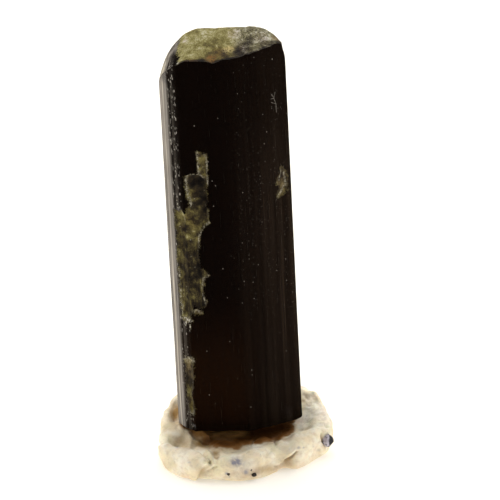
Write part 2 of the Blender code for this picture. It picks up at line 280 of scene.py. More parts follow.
# %% [markdown]
# ## Crown and foot
# The top is a rough break that is nearly level, with rounded shoulders left and
# right and a fall to the back that starts past the middle. It could be cut from a
# block with a rough tool; here it is simply a height over each point of the
# section, so the crown and the sides share one ring of points and stay closed.

# %% Heights of the two breaks
CROWN_LEVEL = 45.38
# a shoulder is (width, height, power), and its plane is (facing x, facing y, distance)
LEFT_SHOULDER = (3.5, 4.3, 1.6)
LEFT_SHOULDER_PLANE = (-0.985, 0.17, 5.95)
RIGHT_SHOULDER = (2.3, 2.3, 2.1)
RIGHT_SHOULDER_PLANE = (0.90, 0.44, 5.39)
FRONT_DIP_LEFT = 0.95
FRONT_DIP_RIGHT = 0.66
BACK_FALL_START = 0.4
BACK_FALL_CURVE = 0.28
BACK_FALL_SLOPE = 0.9
# middle x and y, depth, width
CROWN_NOTCH = (-0.7, -4.6, 0.30, 0.55)
# the broken green begins at x = first + second * (y + 2), tucked in near the front
GREEN_EDGE = (-4.42, 0.12)
GREEN_TUCK = 0.30
GREEN_WOBBLE = 0.14
CROWN_GRAIN = 0.060
CROWN_FINE_GRAIN = 0.035
CROWN_LEDGE = 0.05
FOOT_FRONT_LEVEL = 2.8
FOOT_SLOPE = 0.12
FOOT_GRAIN = 0.06
FRONT_Y = -4.70


def shoulder_drop(x, y, plane, shoulder):
    """A rounded shoulder: h * (1 - (1 - (1 - d/w)^p)^(1/p)) at distance d inward."""
    facing_x, facing_y, offset = plane
    width, height, power = shoulder
    t = np.clip((offset - facing_x * x - facing_y * y) / width, 0.0, 1.0)
    return height * (1.0 - (1.0 - (1.0 - t) ** power) ** (1.0 / power))


def crown_level(x, y):
    """The level top minus shoulders, front dip, fall to the back and a small notch."""
    level = CROWN_LEVEL - shoulder_drop(x, y, LEFT_SHOULDER_PLANE, LEFT_SHOULDER)
    level = level - shoulder_drop(x, y, RIGHT_SHOULDER_PLANE, RIGHT_SHOULDER)
    dip = FRONT_DIP_LEFT + (FRONT_DIP_RIGHT - FRONT_DIP_LEFT) * smoothstep(-1.8, 2.8, x)
    level = level - dip * smoothstep(0.6, -4.2, y)
    behind = np.maximum(0.0, y - BACK_FALL_START)
    bend = BACK_FALL_SLOPE / (2 * BACK_FALL_CURVE)
    level = level - BACK_FALL_CURVE * np.minimum(behind, bend) ** 2
    level = level - BACK_FALL_SLOPE * np.maximum(0.0, behind - bend)
    notch_x, notch_y, depth, width = CROWN_NOTCH
    return level - depth * bell(np.hypot(x - notch_x, y - notch_y), width)


def green_margin(x, y):
    """How far a place lies inside the broken green, past its edge at x = a + b (y + 2)."""
    start, slope = GREEN_EDGE
    wobble = GREEN_WOBBLE * rough(stack(x, y, 0.0 * x), 0.9, 31)
    wobble = wobble - GREEN_TUCK * smoothstep(-1.7, -2.9, y)
    return np.maximum(x - start - slope * (y + 2.0) + wobble, y - 3.0)


def crown_surface(x, y):
    """The crown's height with its crushed grain; the skinned shoulder stays smoother."""
    flat = stack(x, y, 0.0 * x)
    grain = CROWN_GRAIN * rough(flat, 1.6, 11) + CROWN_FINE_GRAIN * rough(flat, 0.42, 12, 2)
    ledge = CROWN_LEDGE * np.tanh(4.0 * rough(flat, 1.0, 14, 3)) * smoothstep(0.2, 2.6, x)
    return crown_level(x, y) + (grain + ledge) * smoothstep(-0.4, 0.4, green_margin(x, y))


def foot_surface(x, y):
    """The foot's height: a plane that falls to the back, with a rough grain."""
    grain = FOOT_GRAIN * rough(stack(x, y, 0.0 * x), 1.2, 21)
    return FOOT_FRONT_LEVEL - FOOT_SLOPE * (y - FRONT_Y) + grain


edge_level = crown_level(np.array([-4.4, 0.0, 5.0]), np.array([-4.2, -4.6, -2.8]))
print("crown at its front edge:", np.round(edge_level, 2))

# %% [markdown]
# ## Chips along the front left edge
# A hard crystal chips where it is knocked, along an edge. Each chip shows olive
# broken stone with a crushed rim. It could be cut with a solid; on a surface this
# fine it is better pressed in by a depth field, which also tells the material
# where the skin is gone. Each scar is an outline (x, z) on the front or the back,
# and a depth.

# %% Outlines of the scars
SCARS = {
    "sliver": ([(-2.9, 34.6), (-2.41, 34.6), (-2.23, 34.2), (-1.88, 34.3), (-1.83, 33.3), (-1.83, 31.3),
      (-1.91, 30.6), (-2.16, 30.7), (-2.27, 31.5), (-2.85, 31.9), (-2.79, 32.9), (-2.9, 33.7)], 0.14),
    "ring": ([(-4.23, 31.7), (-3.73, 31.9), (-3.23, 32.0), (-2.55, 31.8), (-2.07, 31.3), (-1.93, 30.2),
      (-1.94, 29.1), (-2.2, 27.6), (-3.2, 27.3), (-3.85, 27.6), (-4.13, 29.9)], 0.34),
    "large": ([(-5.42, 27.6), (-5.05, 27.5), (-4.72, 27.9), (-4.44, 27.7), (-4.1, 28.3), (-3.51, 28.4),
      (-1.98, 28.1), (-1.86, 26.7), (-2.27, 26.3), (-2.64, 25.9), (-2.87, 25.3), (-3.0, 24.6),
      (-3.05, 23.6), (-3.19, 22.9), (-4.08, 22.8), (-5.42, 22.4)], 0.3),
    "fibrous": ([(-5.42, 23.3), (-4.24, 23.7), (-3.15, 23.5), (-3.05, 21.5), (-2.47, 21.1),
      (-2.2, 20.6), (-2.61, 20.3), (-2.88, 19.0), (-2.61, 17.3), (-3.08, 16.8), (-3.97, 17.1),
      (-4.16, 16.4), (-4.25, 15.5), (-4.78, 15.1), (-5.23, 15.2), (-5.42, 16.5)], 0.22),
    "lobe": ([(-4.15, 16.6), (-3.78, 16.9), (-3.09, 16.7), (-3.06, 16.3), (-3.51, 16.2), (-4.02, 16.1)],
      0.1),
    "low_strip": ([(-5.32, 10.8), (-4.77, 11.2), (-4.2, 11.4), (-4.23, 10.3), (-4.33, 8.9),
      (-4.49, 7.8), (-4.69, 6.7), (-4.48, 5.9), (-4.35, 5.3), (-4.48, 4.8), (-5.02, 4.3), (-5.26, 6.5),
      (-5.31, 9.6)], 0.14),
    "right": ([(5.36, 31.6), (5.73, 31.0), (5.99, 30.0), (5.93, 28.6), (5.51, 28.2), (4.91, 28.1),
      (4.68, 28.4), (4.96, 29.2), (4.79, 29.9), (4.75, 30.2), (5.12, 30.6)], 0.14),
}
BACK_SCARS = {
    "back_high": ([(2.6, 37.6), (3.6, 38.4), (4.1, 36.6), (4.0, 34.2), (3.2, 33.6), (2.5, 35.4)], 0.3),
    "back_low": ([(-5.0, 16.6), (-4.0, 17.2), (-3.5, 14.6), (-4.1, 11.6), (-5.0, 11.2)], 0.3),
}
print("scars:", len(SCARS), "in front,", len(BACK_SCARS), "behind")

# %% [markdown]
# ## Tones of the broken stone
# Broken stone is never one colour: here paler, there darker, golden or purplish,
# and crushed to white powder along the edges that took the knock. Noise alone
# would scatter that evenly. Short lists of soft patches put it where it belongs,
# and noise in the material breaks them up later. A patch is a place, two half
# sizes and an amount; on the crown the place is (x, y), on the sides (x, z).

# %% Patches and crushed lines
# paler (+) and darker (-) stone
SIDE_TONES = [
    (-2.35, 33.4, 0.4, 1.0, 0.2), (-3.2, 31.0, 0.7, 0.7, -0.95), (-2.6, 31.0, 0.5, 0.7, -0.35),
    (-4.1, 30.3, 0.3, 1.15, 0.25), (-3.55, 29.9, 0.4, 0.7, 0.12), (-2.5, 28.9, 0.5, 0.8, -0.6),
    (-3.4, 28.6, 0.5, 0.35, -0.25), (-5.05, 27.0, 0.4, 0.8, 0.3), (-4.8, 27.3, 0.2, 0.3, 0.5),
    (-5.0, 26.1, 0.3, 0.7, 0.15), (-4.05, 27.0, 0.7, 0.7, -0.05), (-4.65, 25.8, 0.4, 0.45, -0.45),
    (-4.35, 25.1, 0.35, 0.45, 0.4), (-2.55, 27.4, 0.6, 0.8, -0.35), (-3.15, 27.7, 0.6, 0.55, -0.12),
    (-3.6, 24.3, 0.5, 0.7, 0.08), (-4.65, 23.9, 0.4, 0.55, -0.5), (-5.4, 22.1, 0.25, 1.6, 0.2),
    (-4.95, 22.1, 0.2, 1.15, -0.2), (-4.4, 22.4, 0.3, 1.0, -0.55), (-3.6, 22.2, 0.5, 1.35, -0.5),
    (-4.45, 21.1, 0.5, 0.45, -0.45), (-3.6, 20.5, 0.6, 0.45, -0.55), (-4.65, 19.5, 0.6, 0.9, -0.3),
    (-3.55, 19.2, 0.5, 0.55, -0.4), (-3.8, 18.3, 0.4, 0.45, 0.12), (-4.75, 18.0, 0.4, 0.55, -0.2),
    (-3.05, 17.8, 0.4, 0.7, -0.6), (-3.85, 17.4, 0.4, 0.35, -0.75), (-4.9, 16.6, 0.3, 0.7, -0.2),
    (-4.5, 16.6, 0.4, 0.45, -0.5), (-4.75, 15.7, 0.4, 0.35, 0.1), (-5.35, 18.0, 0.2, 1.15, 0.15),
    (-4.8, 10.6, 0.4, 0.45, 0.45), (-4.85, 9.4, 0.4, 0.55, -0.2), (-5.0, 8.3, 0.4, 0.55, -0.55),
    (-5.0, 6.9, 0.3, 0.55, 0.25), (-4.85, 5.6, 0.3, 0.55, -0.15), (5.4, 30.0, 0.5, 1.15, -0.1),
    (-3.1, 21.6, 0.25, 1.5, -0.55), (-2.94, 29.8, 0.9, 1.1, -0.3),
]
CROWN_TONES = [
    (-3.6, -4.4, 0.6, 0.85, -0.05), (-3.5, -0.65, 0.26, 0.4, 0.62), (-3.7, -2.85, 0.5, 1.05, 0.05),
    (-3.4, -0.3, 0.5, 0.85, 0.1), (-2.5, -2.4, 0.8, 1.7, 0.1), (-2.4, -3.6, 0.6, 1.05, 0.12),
    (-1.6, -0.45, 0.4, 0.65, 0.5), (-0.85, -0.1, 0.6, 0.65, 0.25), (-0.65, -1.9, 0.7, 1.05, -0.22),
    (-0.4, -2.15, 0.15, 0.3, 0.8), (-1.5, -3.6, 0.6, 0.85, -0.15), (-2.0, -4.3, 0.6, 0.45, -0.4),
    (0.15, -0.85, 0.8, 0.85, 0.1), (0.85, -0.7, 0.6, 0.85, 0.22), (-0.15, -3.15, 0.8, 0.85, -0.5),
    (1.55, -0.3, 0.7, 0.85, 0.25), (2.3, -0.85, 0.5, 0.85, 0.1), (1.95, -2.8, 0.5, 0.85, -0.4),
    (2.6, -2.45, 0.4, 0.85, -0.6), (2.2, -3.95, 0.6, 0.65, -0.4), (1.5, -3.3, 0.6, 0.65, -0.6),
    (0.55, -3.9, 0.7, 0.65, -0.75), (3.0, -1.55, 0.3, 0.65, -0.6), (3.5, -2.3, 0.5, 0.85, 0.1),
    (3.6, -0.95, 0.5, 0.45, 0.4), (4.1, -3.0, 0.6, 0.65, -0.15), (4.1, -1.65, 0.4, 0.45, -0.25),
    (4.65, -1.05, 0.4, 0.65, 0.7), (5.05, -1.85, 0.6, 0.45, -0.25), (2.95, 4.3, 0.6, 0.45, -0.4),
    (5.85, -1.7, 0.3, 0.65, -0.45), (-3.0, -5.1, 0.6, 0.45, -0.5), (-3.87, -5.17, 0.6, 0.53, -0.9),
    (-2.99, -4.88, 0.7, 0.43, -0.8), (-1.73, -4.38, 0.8, 0.43, -0.5), (-4.28, -4.53, 0.1, 0.28, 1.3),
]
CROWN_CRUSHED = [(-4.25, -3.9, 0.13, 0.3, 1.0)]
# golden (+) and purplish (-) stone
SIDE_HUES = [
    (-4.05, 27.0, 0.8, 0.8, 0.35), (-3.65, 26.0, 0.7, 0.7, 0.3), (-3.05, 30.0, 0.9, 0.9, 0.5),
    (-4.7, 16.6, 0.6, 0.8, 0.3), (-4.85, 9.6, 0.6, 1.6, -1.0), (-4.85, 5.9, 0.5, 0.9, 0.4),
    (-3.3, 31.0, 0.9, 0.7, -0.9), (-4.65, 25.8, 0.5, 0.45, -0.8), (-4.4, 22.4, 0.3, 1.0, -0.8),
    (-2.3, 28.9, 0.5, 0.7, -0.7), (-4.65, 19.6, 0.5, 0.7, -0.4), (-4.65, 15.7, 0.4, 0.35, -0.3),
    (-2.8, 33.0, 0.3, 1.0, -0.2), (5.4, 30.0, 0.6, 1.6, -1.1), (-3.6, 16.5, 0.5, 0.3, -0.8),
]
CROWN_HUES = [
    (1.95, -3.05, 0.9, 1.3, -0.6), (4.1, -1.45, 1.0, 1.3, -0.5), (1.45, -0.3, 0.8, 1.05, -0.4),
    (0.85, -0.7, 0.5, 0.85, -0.2), (-3.5, -0.65, 0.28, 0.42, -0.6), (-4.28, -4.53, 0.2, 0.4, -0.9),
    (-0.15, -3.15, 0.8, 0.85, 0.8), (0.75, -3.7, 0.9, 0.85, 0.3), (5.35, -0.8, 0.5, 1.05, 0.6),
    (-2.9, -4.45, 0.8, 0.65, 0.3), (3.5, -2.5, 0.4, 0.85, 0.2),
]
# pale crushed lines: places (x, z) along them, half width, strength
CRUSHED_LINES = [
    ([(-2.86, 34.4), (-2.8, 33.6), (-2.8, 32.7), (-2.83, 32.0)], 0.11, 0.75),
    ([(-2.18, 34.3), (-1.9, 33.6), (-1.93, 32.2), (-1.93, 30.9)], 0.08, 0.75),
    ([(-4.14, 31.6), (-3.83, 31.85), (-3.33, 31.95), (-2.83, 31.9), (-2.26, 31.5)], 0.1, 0.75),
    ([(-4.1, 31.6), (-4.08, 30.5), (-3.98, 29.7), (-3.72, 28.4)], 0.15, 0.75),
    ([(-1.96, 26.6), (-2.36, 26.3), (-2.78, 25.7), (-3.05, 25.0), (-3.2, 24.3), (-3.1, 23.8)],
      0.09, 0.75),
    ([(-2.04, 27.9), (-2.02, 27.2)], 0.06, 0.75),
    ([(-5.3, 20.8), (-5.33, 16.8)], 0.05, 0.75),
    ([(-2.34, 20.6), (-2.9, 20.2), (-3.08, 19.0)], 0.09, 0.58),
    ([(-3.05, 18.6), (-2.8, 17.4)], 0.07, 0.75),
    ([(-5.17, 15.5), (-4.77, 15.4), (-4.3, 15.5)], 0.18, 1.0),
    ([(-4.98, 14.7), (-4.8, 15.3)], 0.07, 1.0),
    ([(-4.5, 14.4), (-4.42, 15.3)], 0.07, 1.0),
    ([(-5.27, 16.9), (-5.2, 15.4)], 0.05, 0.75),
    ([(-4.15, 16.5), (-3.78, 16.7), (-3.29, 16.5)], 0.13, 0.75),
    ([(-5.15, 4.6), (-4.81, 4.6), (-4.57, 5.1)], 0.1, 0.75),
    ([(-5.2, 10.8), (-4.77, 10.9), (-4.34, 11.0)], 0.24, 0.85),
    ([(-5.03, 4.1), (-4.84, 3.85)], 0.05, 0.75),
    ([(-5.05, 3.4), (-4.78, 3.0)], 0.04, 0.75),
    ([(4.95, 28.3), (5.3, 28.7), (5.6, 29.2)], 0.09, 0.75),
    ([(5.35, 31.1), (5.2, 30.0)], 0.06, 0.75),
    ([(5.65, 30.7), (5.8, 29.2)], 0.06, 0.75),
    ([(-5.09, 28.8), (-5.05, 28.0)], 0.06, 1.0),
    ([(-4.75, 27.5), (-4.62, 26.6)], 0.06, 0.75),
]
print("patches:", len(SIDE_TONES + CROWN_TONES + SIDE_HUES + CROWN_HUES + CROWN_CRUSHED))

# %% [markdown]
# ## From outlines to fields
# The lists become numbers at every point of the surface. Inside or outside an
# outline is settled by counting the edges that a ray crosses, and how far from it
# by the nearest edge. A little noise on that distance makes the edges ragged.

# %% Fields of the scars
SCAR_WOBBLE = 0.10
SCAR_LUMPS = 0.45
SCAR_WALL = 0.30


def segment_distance(x, z, start, end):
    """Distance to a segment: |p - a - t (b - a)|, with t held between 0 and 1."""
    (x0, z0), (x1, z1) = start, end
    ex, ez = x1 - x0, z1 - z0
    t = np.clip(((x - x0) * ex + (z - z0) * ez) / (ex * ex + ez * ez), 0.0, 1.0)
    return np.hypot(x - x0 - t * ex, z - z0 - t * ez)


def depth_inside(x, z, outline):
    """Signed distance to a closed outline: positive inside, by edge and by crossings."""
    nearest = np.full(x.shape, 1e9)
    crossings = np.zeros(x.shape, int)
    for start, end in zip(outline, outline[1:] + outline[:1]):
        nearest = np.minimum(nearest, segment_distance(x, z, start, end))
        (x0, z0), (x1, z1) = start, end
        spans = (z0 > z) != (z1 > z)
        at = x0 + (z - z0) / ((z1 - z0) or 1e-9) * (x1 - x0)
        crossings += spans & (x < at)
    return np.where(crossings % 2 == 1, nearest, -nearest)


def scar_fields(x, y, z):
    """Depth of the scars, and the signed distance to the nearest scar's edge."""
    places = stack(x, y, z)
    wobble = SCAR_WOBBLE * rough(places, 0.6, 41, 3)
    lumps = 1.0 + SCAR_LUMPS * rough(places, 0.8, 43, 3)
    depth = np.zeros(x.shape)
    margin = np.full(x.shape, -1.0)
    for scars, side in ((SCARS, y < 0.0), (BACK_SCARS, y >= 0.0)):
        for outline, deep in scars.values():
            d = np.where(side, depth_inside(x, z, outline) + wobble, -1.0)
            depth = np.maximum(depth, deep * smoothstep(0.0, SCAR_WALL, d) * lumps)
            margin = np.maximum(margin, d)
    return depth, margin


def sum_of_patches(x, z, patches):
    """Add amount * exp(-(dx/rx)^2 - (dz/rz)^2) over a list of patches."""
    total = np.zeros(x.shape)
    for px, pz, rx, rz, amount in patches:
        total = total + amount * np.exp(-(((x - px) / rx) ** 2) - ((z - pz) / rz) ** 2)
    return total


def crushed_field(x, y, z):
    """1 on the crushed lines of the front, falling to 0 over their half widths."""
    best = np.zeros(x.shape)
    for line, width, strength in CRUSHED_LINES:
        for start, end in zip(line[:-1], line[1:]):
            away = segment_distance(x, z, start, end)
            best = np.maximum(best, strength * bell(away, width))
    return np.where(y < 0.0, best, 0.0)


inside = depth_inside(np.array([-3.0]), np.array([29.0]), SCARS["ring"][0])
print("a place in the ring scar lies", round(inside[0], 2), "mm inside its edge")


# %% [markdown]
# ## Striations
# The sides are ribbed along their whole length. Each rib is a tiny step, so its
# depth depends on the way round the prism and hardly at all on the height: the
# noise is stretched along the prism by some twenty times. The broad front face
# is the calmest, and the two narrow faces at the left are the most ribbed. Their
# ribs run on over the left shoulder, so there the way round is carried inward
# from the outline to the edge of the broken green.

# %% Depth of the striations
RIB_STRENGTH = [
    (0.0, 1.0), (0.038, 1.0), (0.048, 0.3), (0.082, 0.3), (0.09, 0.15), (0.235, 0.15), (0.26, 0.12),
    (0.42, 0.2), (0.5, 0.8), (1.0, 1.0),
]
OUTLINE_LENGTH = np.hypot(*np.diff(np.vstack([section, section[:1]]), axis=0).T).sum()
# way round (mm) -> grey of dust and painted sheen on the two narrow left strips
STRIP_GREY_DUST_AND_SHEEN = [
    (-1.2, 0.25), (-0.4, 0.45), (0.0, 0.45), (0.12, 0.6), (0.25, 0.78), (0.38, 0.5), (0.5, 0.8),
    (0.62, 1.25), (0.74, 1.45), (0.84, 1.1), (0.92, 0.5), (1.02, 0.35), (1.12, 0.62), (1.25, 0.42),
    (1.38, 0.5), (1.5, 0.28), (1.7, 0.2), (1.82, 0.03), (1.98, 0.03), (2.15, 0.14), (2.4, 0.12),
    (2.6, 0.02), (3.2, 0.0),
]
# the shoulder's outline: y, then its x, then the way round that meets it there
SHOULDER_RIM = [
    (-4.35, -3.15, -1.80, -0.70, 1.00, 3.50),
    (-4.47, -5.53, -6.28, -6.20, -5.20, -3.20),
    (3.145, 1.544, 0.0, 0.0, 0.0, 0.0),
]
STRIPS_END = 3.145
# share of the way from the outline to the edge of the broken green -> grey of dust and painted sheen
# there
SHOULDER_GREY_DUST_AND_SHEEN = [
    (0.0, 2.1), (0.12, 1.9), (0.28, 1.3), (0.45, 0.9), (0.62, 0.5), (0.8, 0.06), (1.0, 0.0),
]
SHOULDER_BACK_DUST_AND_SHEEN = 1.35
# height and width of the three noises across the ribs, and their seeds
RIB_NOISES = [(0.030, 0.50, 51), (0.020, 0.20, 52), (0.009, 0.09, 53)]
RIB_LENGTH = 22.0
STREAK_STRENGTHS = (0.42, 0.26)


def rib_depth(s, z):
    """Sum of three noises across the ribs, the first two folded to ridges, long in z."""
    share = s / OUTLINE_LENGTH
    places, strengths = np.array(RIB_STRENGTH).T
    amount = np.interp(share, places, strengths)
    angle = share * 2.0 * math.pi
    radius = OUTLINE_LENGTH / (2.0 * math.pi)
    ring = stack(radius * np.cos(angle), radius * np.sin(angle), z / RIB_LENGTH)
    broad, narrow, fine = (height * noise3(ring / width, seed) for height, width, seed in RIB_NOISES)
    return amount * (np.abs(broad) + np.abs(narrow) + fine)


def shoulder_lane(x, y):
    """Carry the way round up over the shoulder, from the outline to the green's edge.

    At each y the share u runs from 0 on the outline to 1 on the edge, and the way
    is lane + u (end - lane). Both are returned.
    """
    rim_x = np.interp(y, SHOULDER_RIM[0], SHOULDER_RIM[1])
    rim_lane = np.interp(y, SHOULDER_RIM[0], SHOULDER_RIM[2])
    start, slope = GREEN_EDGE
    edge_x = start + slope * (y + 2.0)
    u = np.clip((x - rim_x) / np.maximum(edge_x - rim_x, 0.1), 0.0, 1.0)
    return rim_lane + u * (STRIPS_END - rim_lane), u


def strip_dust_and_sheen(lane, along):
    """Dust and painted sheen on the left strips: a table across the ribs, varied by streaks along them.
    """
    ways, greys = np.array(STRIP_GREY_DUST_AND_SHEEN).T
    return np.interp(lane, ways, greys) * streak_factor(lane, along)


def streak_factor(lane, along):
    """Two noises across the ribs (0.13 and 0.07 mm), drawn out along them, about 1."""
    streaks = noise3(stack(lane / 0.13, along / 9.0, 0.0 * lane), 57)
    fine = noise3(stack(lane / 0.07, along / 3.0, 0.0 * lane), 58)
    broad_part, fine_part = STREAK_STRENGTHS
    return np.clip(1.0 + broad_part * streaks + fine_part * fine, 0.1, 2.0)


def shoulder_dust_and_sheen(x, y):
    """Dust and painted sheen over the shoulder: a table from outline to edge, streaked, mottled, dark
    in front.
    """
    shares, greys = np.array(SHOULDER_GREY_DUST_AND_SHEEN).T
    lane, share = shoulder_lane(x, y)
    behind = smoothstep(-2.2, -0.7, y) * smoothstep(2.6, 0.9, y)
    behind = behind * (1.0 - 0.6 * smoothstep(0.40, 0.80, share))
    grey = np.maximum(np.interp(share, shares, greys), SHOULDER_BACK_DUST_AND_SHEEN * behind)
    broad = noise3(stack(lane / 0.50, y / 2.4, 0.0 * x), 55)
    fine = noise3(stack(lane / 0.24, y / 1.3, 0.0 * x), 56)
    streaks = np.clip(1.0 + 0.8 * broad + 0.6 * fine, 0.05, 2.2)
    mottle = 1.0 + 0.5 * rough(stack(x, y, 0.0 * x), 0.6, 59, 3)
    fade = smoothstep(-4.3, -2.4, y) * (0.22 + 0.78 * smoothstep(1.9, 0.5, y))
    return grey * streaks * mottle * fade


ribs = rib_depth(walk, 20.0 + 0.0 * walk)
print("ribs at mid height:", ribs.min().round(3), "to", ribs.max().round(3), "mm deep")


# %% [markdown]
# ## The crystal's skin
# The rings start at the middle of the foot, run out to its rim, up the side and
# in over the crown. They stand closest along the chipped stretch, where the
# surface is busiest. A few numbers stay with each point for the material: how far
# it lies inside a scar, how pale, how golden or purplish and how crushed its stone
# is, how grey its skin is, and whether it belongs to the crown.

# %% Build the crystal
SIDE_RINGS = 186
CROWN_RINGS = 52
CROWN_DENSITY = [(0.0, 3.0), (0.25, 1.4), (1.0, 0.9)]
FOOT_RINGS = 6
WORN_CORNER = (-5.2, -4.2, 2.4)
WORN_DEPTH = 0.35
ROUND_OFF = 0.22
LIP_WIDTH = 0.070
LIP_TONE = -1.9
BACK_TONE = -0.60
CRYSTAL_CREASE = 38.0
HEIGHT_DENSITY = [
    (0.0, 1.6), (0.08, 1.0), (0.26, 1.0), (0.3, 1.8), (0.74, 1.8), (0.8, 0.8), (0.96, 1.0), (1.0, 1.8),
]


def outward_normals(line):
    """The outline's outward direction at each of its points, slightly evened."""
    along = np.roll(line, -2, 0) - np.roll(line, 2, 0)
    normal = np.stack([along[:, 1], -along[:, 0]], 1)
    return normal / np.linalg.norm(normal, axis=1, keepdims=True)


def build_crystal():
    """Foot rings, side rings and crown rings as one closed skin, with its fields."""
    normal = outward_normals(section)
    x0, y0 = section.T
    foot = foot_surface(x0, y0)
    top = crown_surface(x0, y0)
    share = spread(HEIGHT_DENSITY, SIDE_RINGS)[:, None]
    z = foot + (top - foot) * share
    x = np.broadcast_to(x0, z.shape)
    y = np.broadcast_to(y0, z.shape)
    s = np.broadcast_to(walk, z.shape)
    depth, margin = scar_fields(x, y, z)
    corner = np.linalg.norm(stack(x, y, z) - np.array(WORN_CORNER), axis=-1)
    worn = WORN_DEPTH * smoothstep(1.3, 0.1, corner)
    round_off = ROUND_OFF * smoothstep(3.6, 5.6, x) * smoothstep(1.7, 0.0, top - z) ** 2
    ends = smoothstep(0.0, 0.6, z - foot)
    sink = depth + smoothstep(0.06, -0.02, margin) * rib_depth(s, z) + worn * ends + round_off
    side = stack(x - normal[:, 0] * sink, y - normal[:, 1] * sink, z)
    inward = 1.0 - spread(CROWN_DENSITY, CROWN_RINGS + 2)[1:-1, None]
    cx = inward * side[-1, :, 0]
    cy = inward * side[-1, :, 1]
    crown = stack(cx, cy, crown_surface(cx, cy))
    outward = np.linspace(0.0, 1.0, FOOT_RINGS + 2)[1:-1, None]
    fx = outward * side[0, :, 0]
    fy = outward * side[0, :, 1]
    under = stack(fx, fy, foot_surface(fx, fy))
    middle = np.zeros(1)
    foot_pole = np.array([0.0, 0.0, foot_surface(middle, middle)[0]])
    crown_pole = np.array([0.0, 0.0, crown_surface(middle, middle)[0]])
    rings = np.concatenate([under, side, crown])
    piece = skin_from_rings("crystal_surface", to_world(rings),
                            to_world(foot_pole), to_world(crown_pole))
    none = np.zeros_like(fx)
    lip = bell(1.0 - inward, LIP_WIDTH) * smoothstep(2.0, -1.0, cy)
    lip = lip * (0.35 + 0.65 * smoothstep(1.8, 0.2, cx)) * (0.9 + 0.7 * rough(crown, 0.7, 33, 3))
    left = np.where(s > OUTLINE_LENGTH - 1.2, s - OUTLINE_LENGTH, s)
    tip = 1.0 - 0.65 * smoothstep(41.1, 41.9, z) * smoothstep(0.25, 0.65, left)
    side_dust_and_sheen = np.where(left < 3.2, strip_dust_and_sheen(left, z) * tip, 0.0)
    side_tone = sum_of_patches(x, z, SIDE_TONES) + BACK_TONE * (y > 0.0)
    crown_tone = sum_of_patches(cx, cy, CROWN_TONES) + LIP_TONE * lip
    for name, low, mid, high in (
        ("scar", none - 1.0, margin, np.clip(green_margin(cx, cy), -1.0, 1.0)),
        ("tone", none, side_tone, crown_tone),
        ("hue", none, sum_of_patches(x, z, SIDE_HUES), sum_of_patches(cx, cy, CROWN_HUES)),
        ("crushed", none, crushed_field(x, y, z), sum_of_patches(cx, cy, CROWN_CRUSHED)),
        # grey: dust and painted sheen on the left strips and over the shoulder
        ("grey", none, side_dust_and_sheen, shoulder_dust_and_sheen(cx, cy)),
        ("crown", none, 0.0 * z, 1.0 + 0.0 * cx),
    ):
        values = np.concatenate([low.ravel(), mid.ravel(), high.ravel(), [low[0, 0], high[-1, 0]]])
        store_values(piece, name, values)
    return piece


crystal = build_crystal()
crystal.data.shade_smooth()
crystal.data.set_sharp_from_angle(angle=math.radians(CRYSTAL_CREASE))
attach(crystal, "root")
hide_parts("crystal")
print("crystal:", len(crystal.data.polygons), "faces")

# %% [markdown]
# ## Node helpers
# A material is a small graph. Written by hand in code it gets long, so one helper
# adds a node with its settings and plugs whatever it is given into its sockets:
# a number or colour sets the socket, another node's output is linked to it.

# %% Nodes and sockets
X, Y, Z = 0, 1, 2


def new_material(name):
    """A material with its node tree emptied down to the Principled shader."""
    material = bpy.data.materials.new(name)
    material.use_nodes = True
    tree = material.node_tree
    return material, tree, tree.nodes["Principled BSDF"]


def add(tree, kind, sockets=None, **settings):
    """Add a node, set its properties, and fill its sockets by name or number."""
    node = tree.nodes.new("ShaderNode" + kind)
    for key, value in settings.items():
        setattr(node, key, value)
    plug(tree, node, sockets or {})
    return node


def plug(tree, node, sockets):
    """Link outputs and set plain values on the sockets of one node."""
    for key, value in sockets.items():
        socket = node.inputs[key]
        if isinstance(value, bpy.types.NodeSocket):
            tree.links.new(value, socket)
        else:
            socket.default_value = value


def attribute(tree, name):
    """The number stored on the mesh under this name."""
    return add(tree, "Attribute", attribute_name=name).outputs["Fac"]


def object_place(tree, scale=(1.0, 1.0, 1.0), turn=(0.0, 0.0, 0.0), shift=(0.0, 0.0, 0.0)):
    """Object coordinates in millimetres, after a scale, a turn and a shift."""
    source = add(tree, "TexCoord").outputs["Object"]
    size = tuple(v / MM for v in scale)
    return add(tree, "Mapping", {"Vector": source, "Scale": size, "Rotation": turn,
                                 "Location": shift}).outputs["Vector"]


def stretch(tree, vector, scale):
    """The same place with each axis scaled, so that a pattern is stretched."""
    return add(tree, "Mapping", {"Vector": vector, "Scale": scale}).outputs["Vector"]


def drawn_out(tree, vector, factor):
    """The same place with only z scaled: below 1, a pattern is drawn out along z."""
    return stretch(tree, vector, (1.0, 1.0, factor))


def axes_of(tree, vector):
    """The x, y and z of a vector."""
    return add(tree, "SeparateXYZ", {0: vector}).outputs


def noise(tree, vector, scale, detail=4.0, roughness=0.55):
    """Fractal noise from 0 to 1."""
    return add(tree, "TexNoise", {"Vector": vector, "Scale": scale, "Detail": detail,
                                  "Roughness": roughness}).outputs["Fac"]


def ramp(tree, value, low, high, to_low=0.0, to_high=1.0):
    """A smooth step from low to high, mapped to to_low..to_high."""
    return add(tree, "MapRange", {"Value": value, "From Min": low, "From Max": high,
                                  "To Min": to_low, "To Max": to_high},
               interpolation_type="SMOOTHSTEP").outputs["Result"]


def maths(tree, operation, first, second=0.0):
    """One arithmetic step on two numbers."""
    return add(tree, "Math", {0: first, 1: second}, operation=operation).outputs[0]


def mix_colour(tree, amount, first, second, blend="MIX"):
    """Blend two colours by an amount."""
    node = add(tree, "Mix", data_type="RGBA", blend_type=blend)
    plug(tree, node, {0: amount, 6: first, 7: second})
    return node.outputs[2]


print("axes:", dict(x=X, y=Y, z=Z))

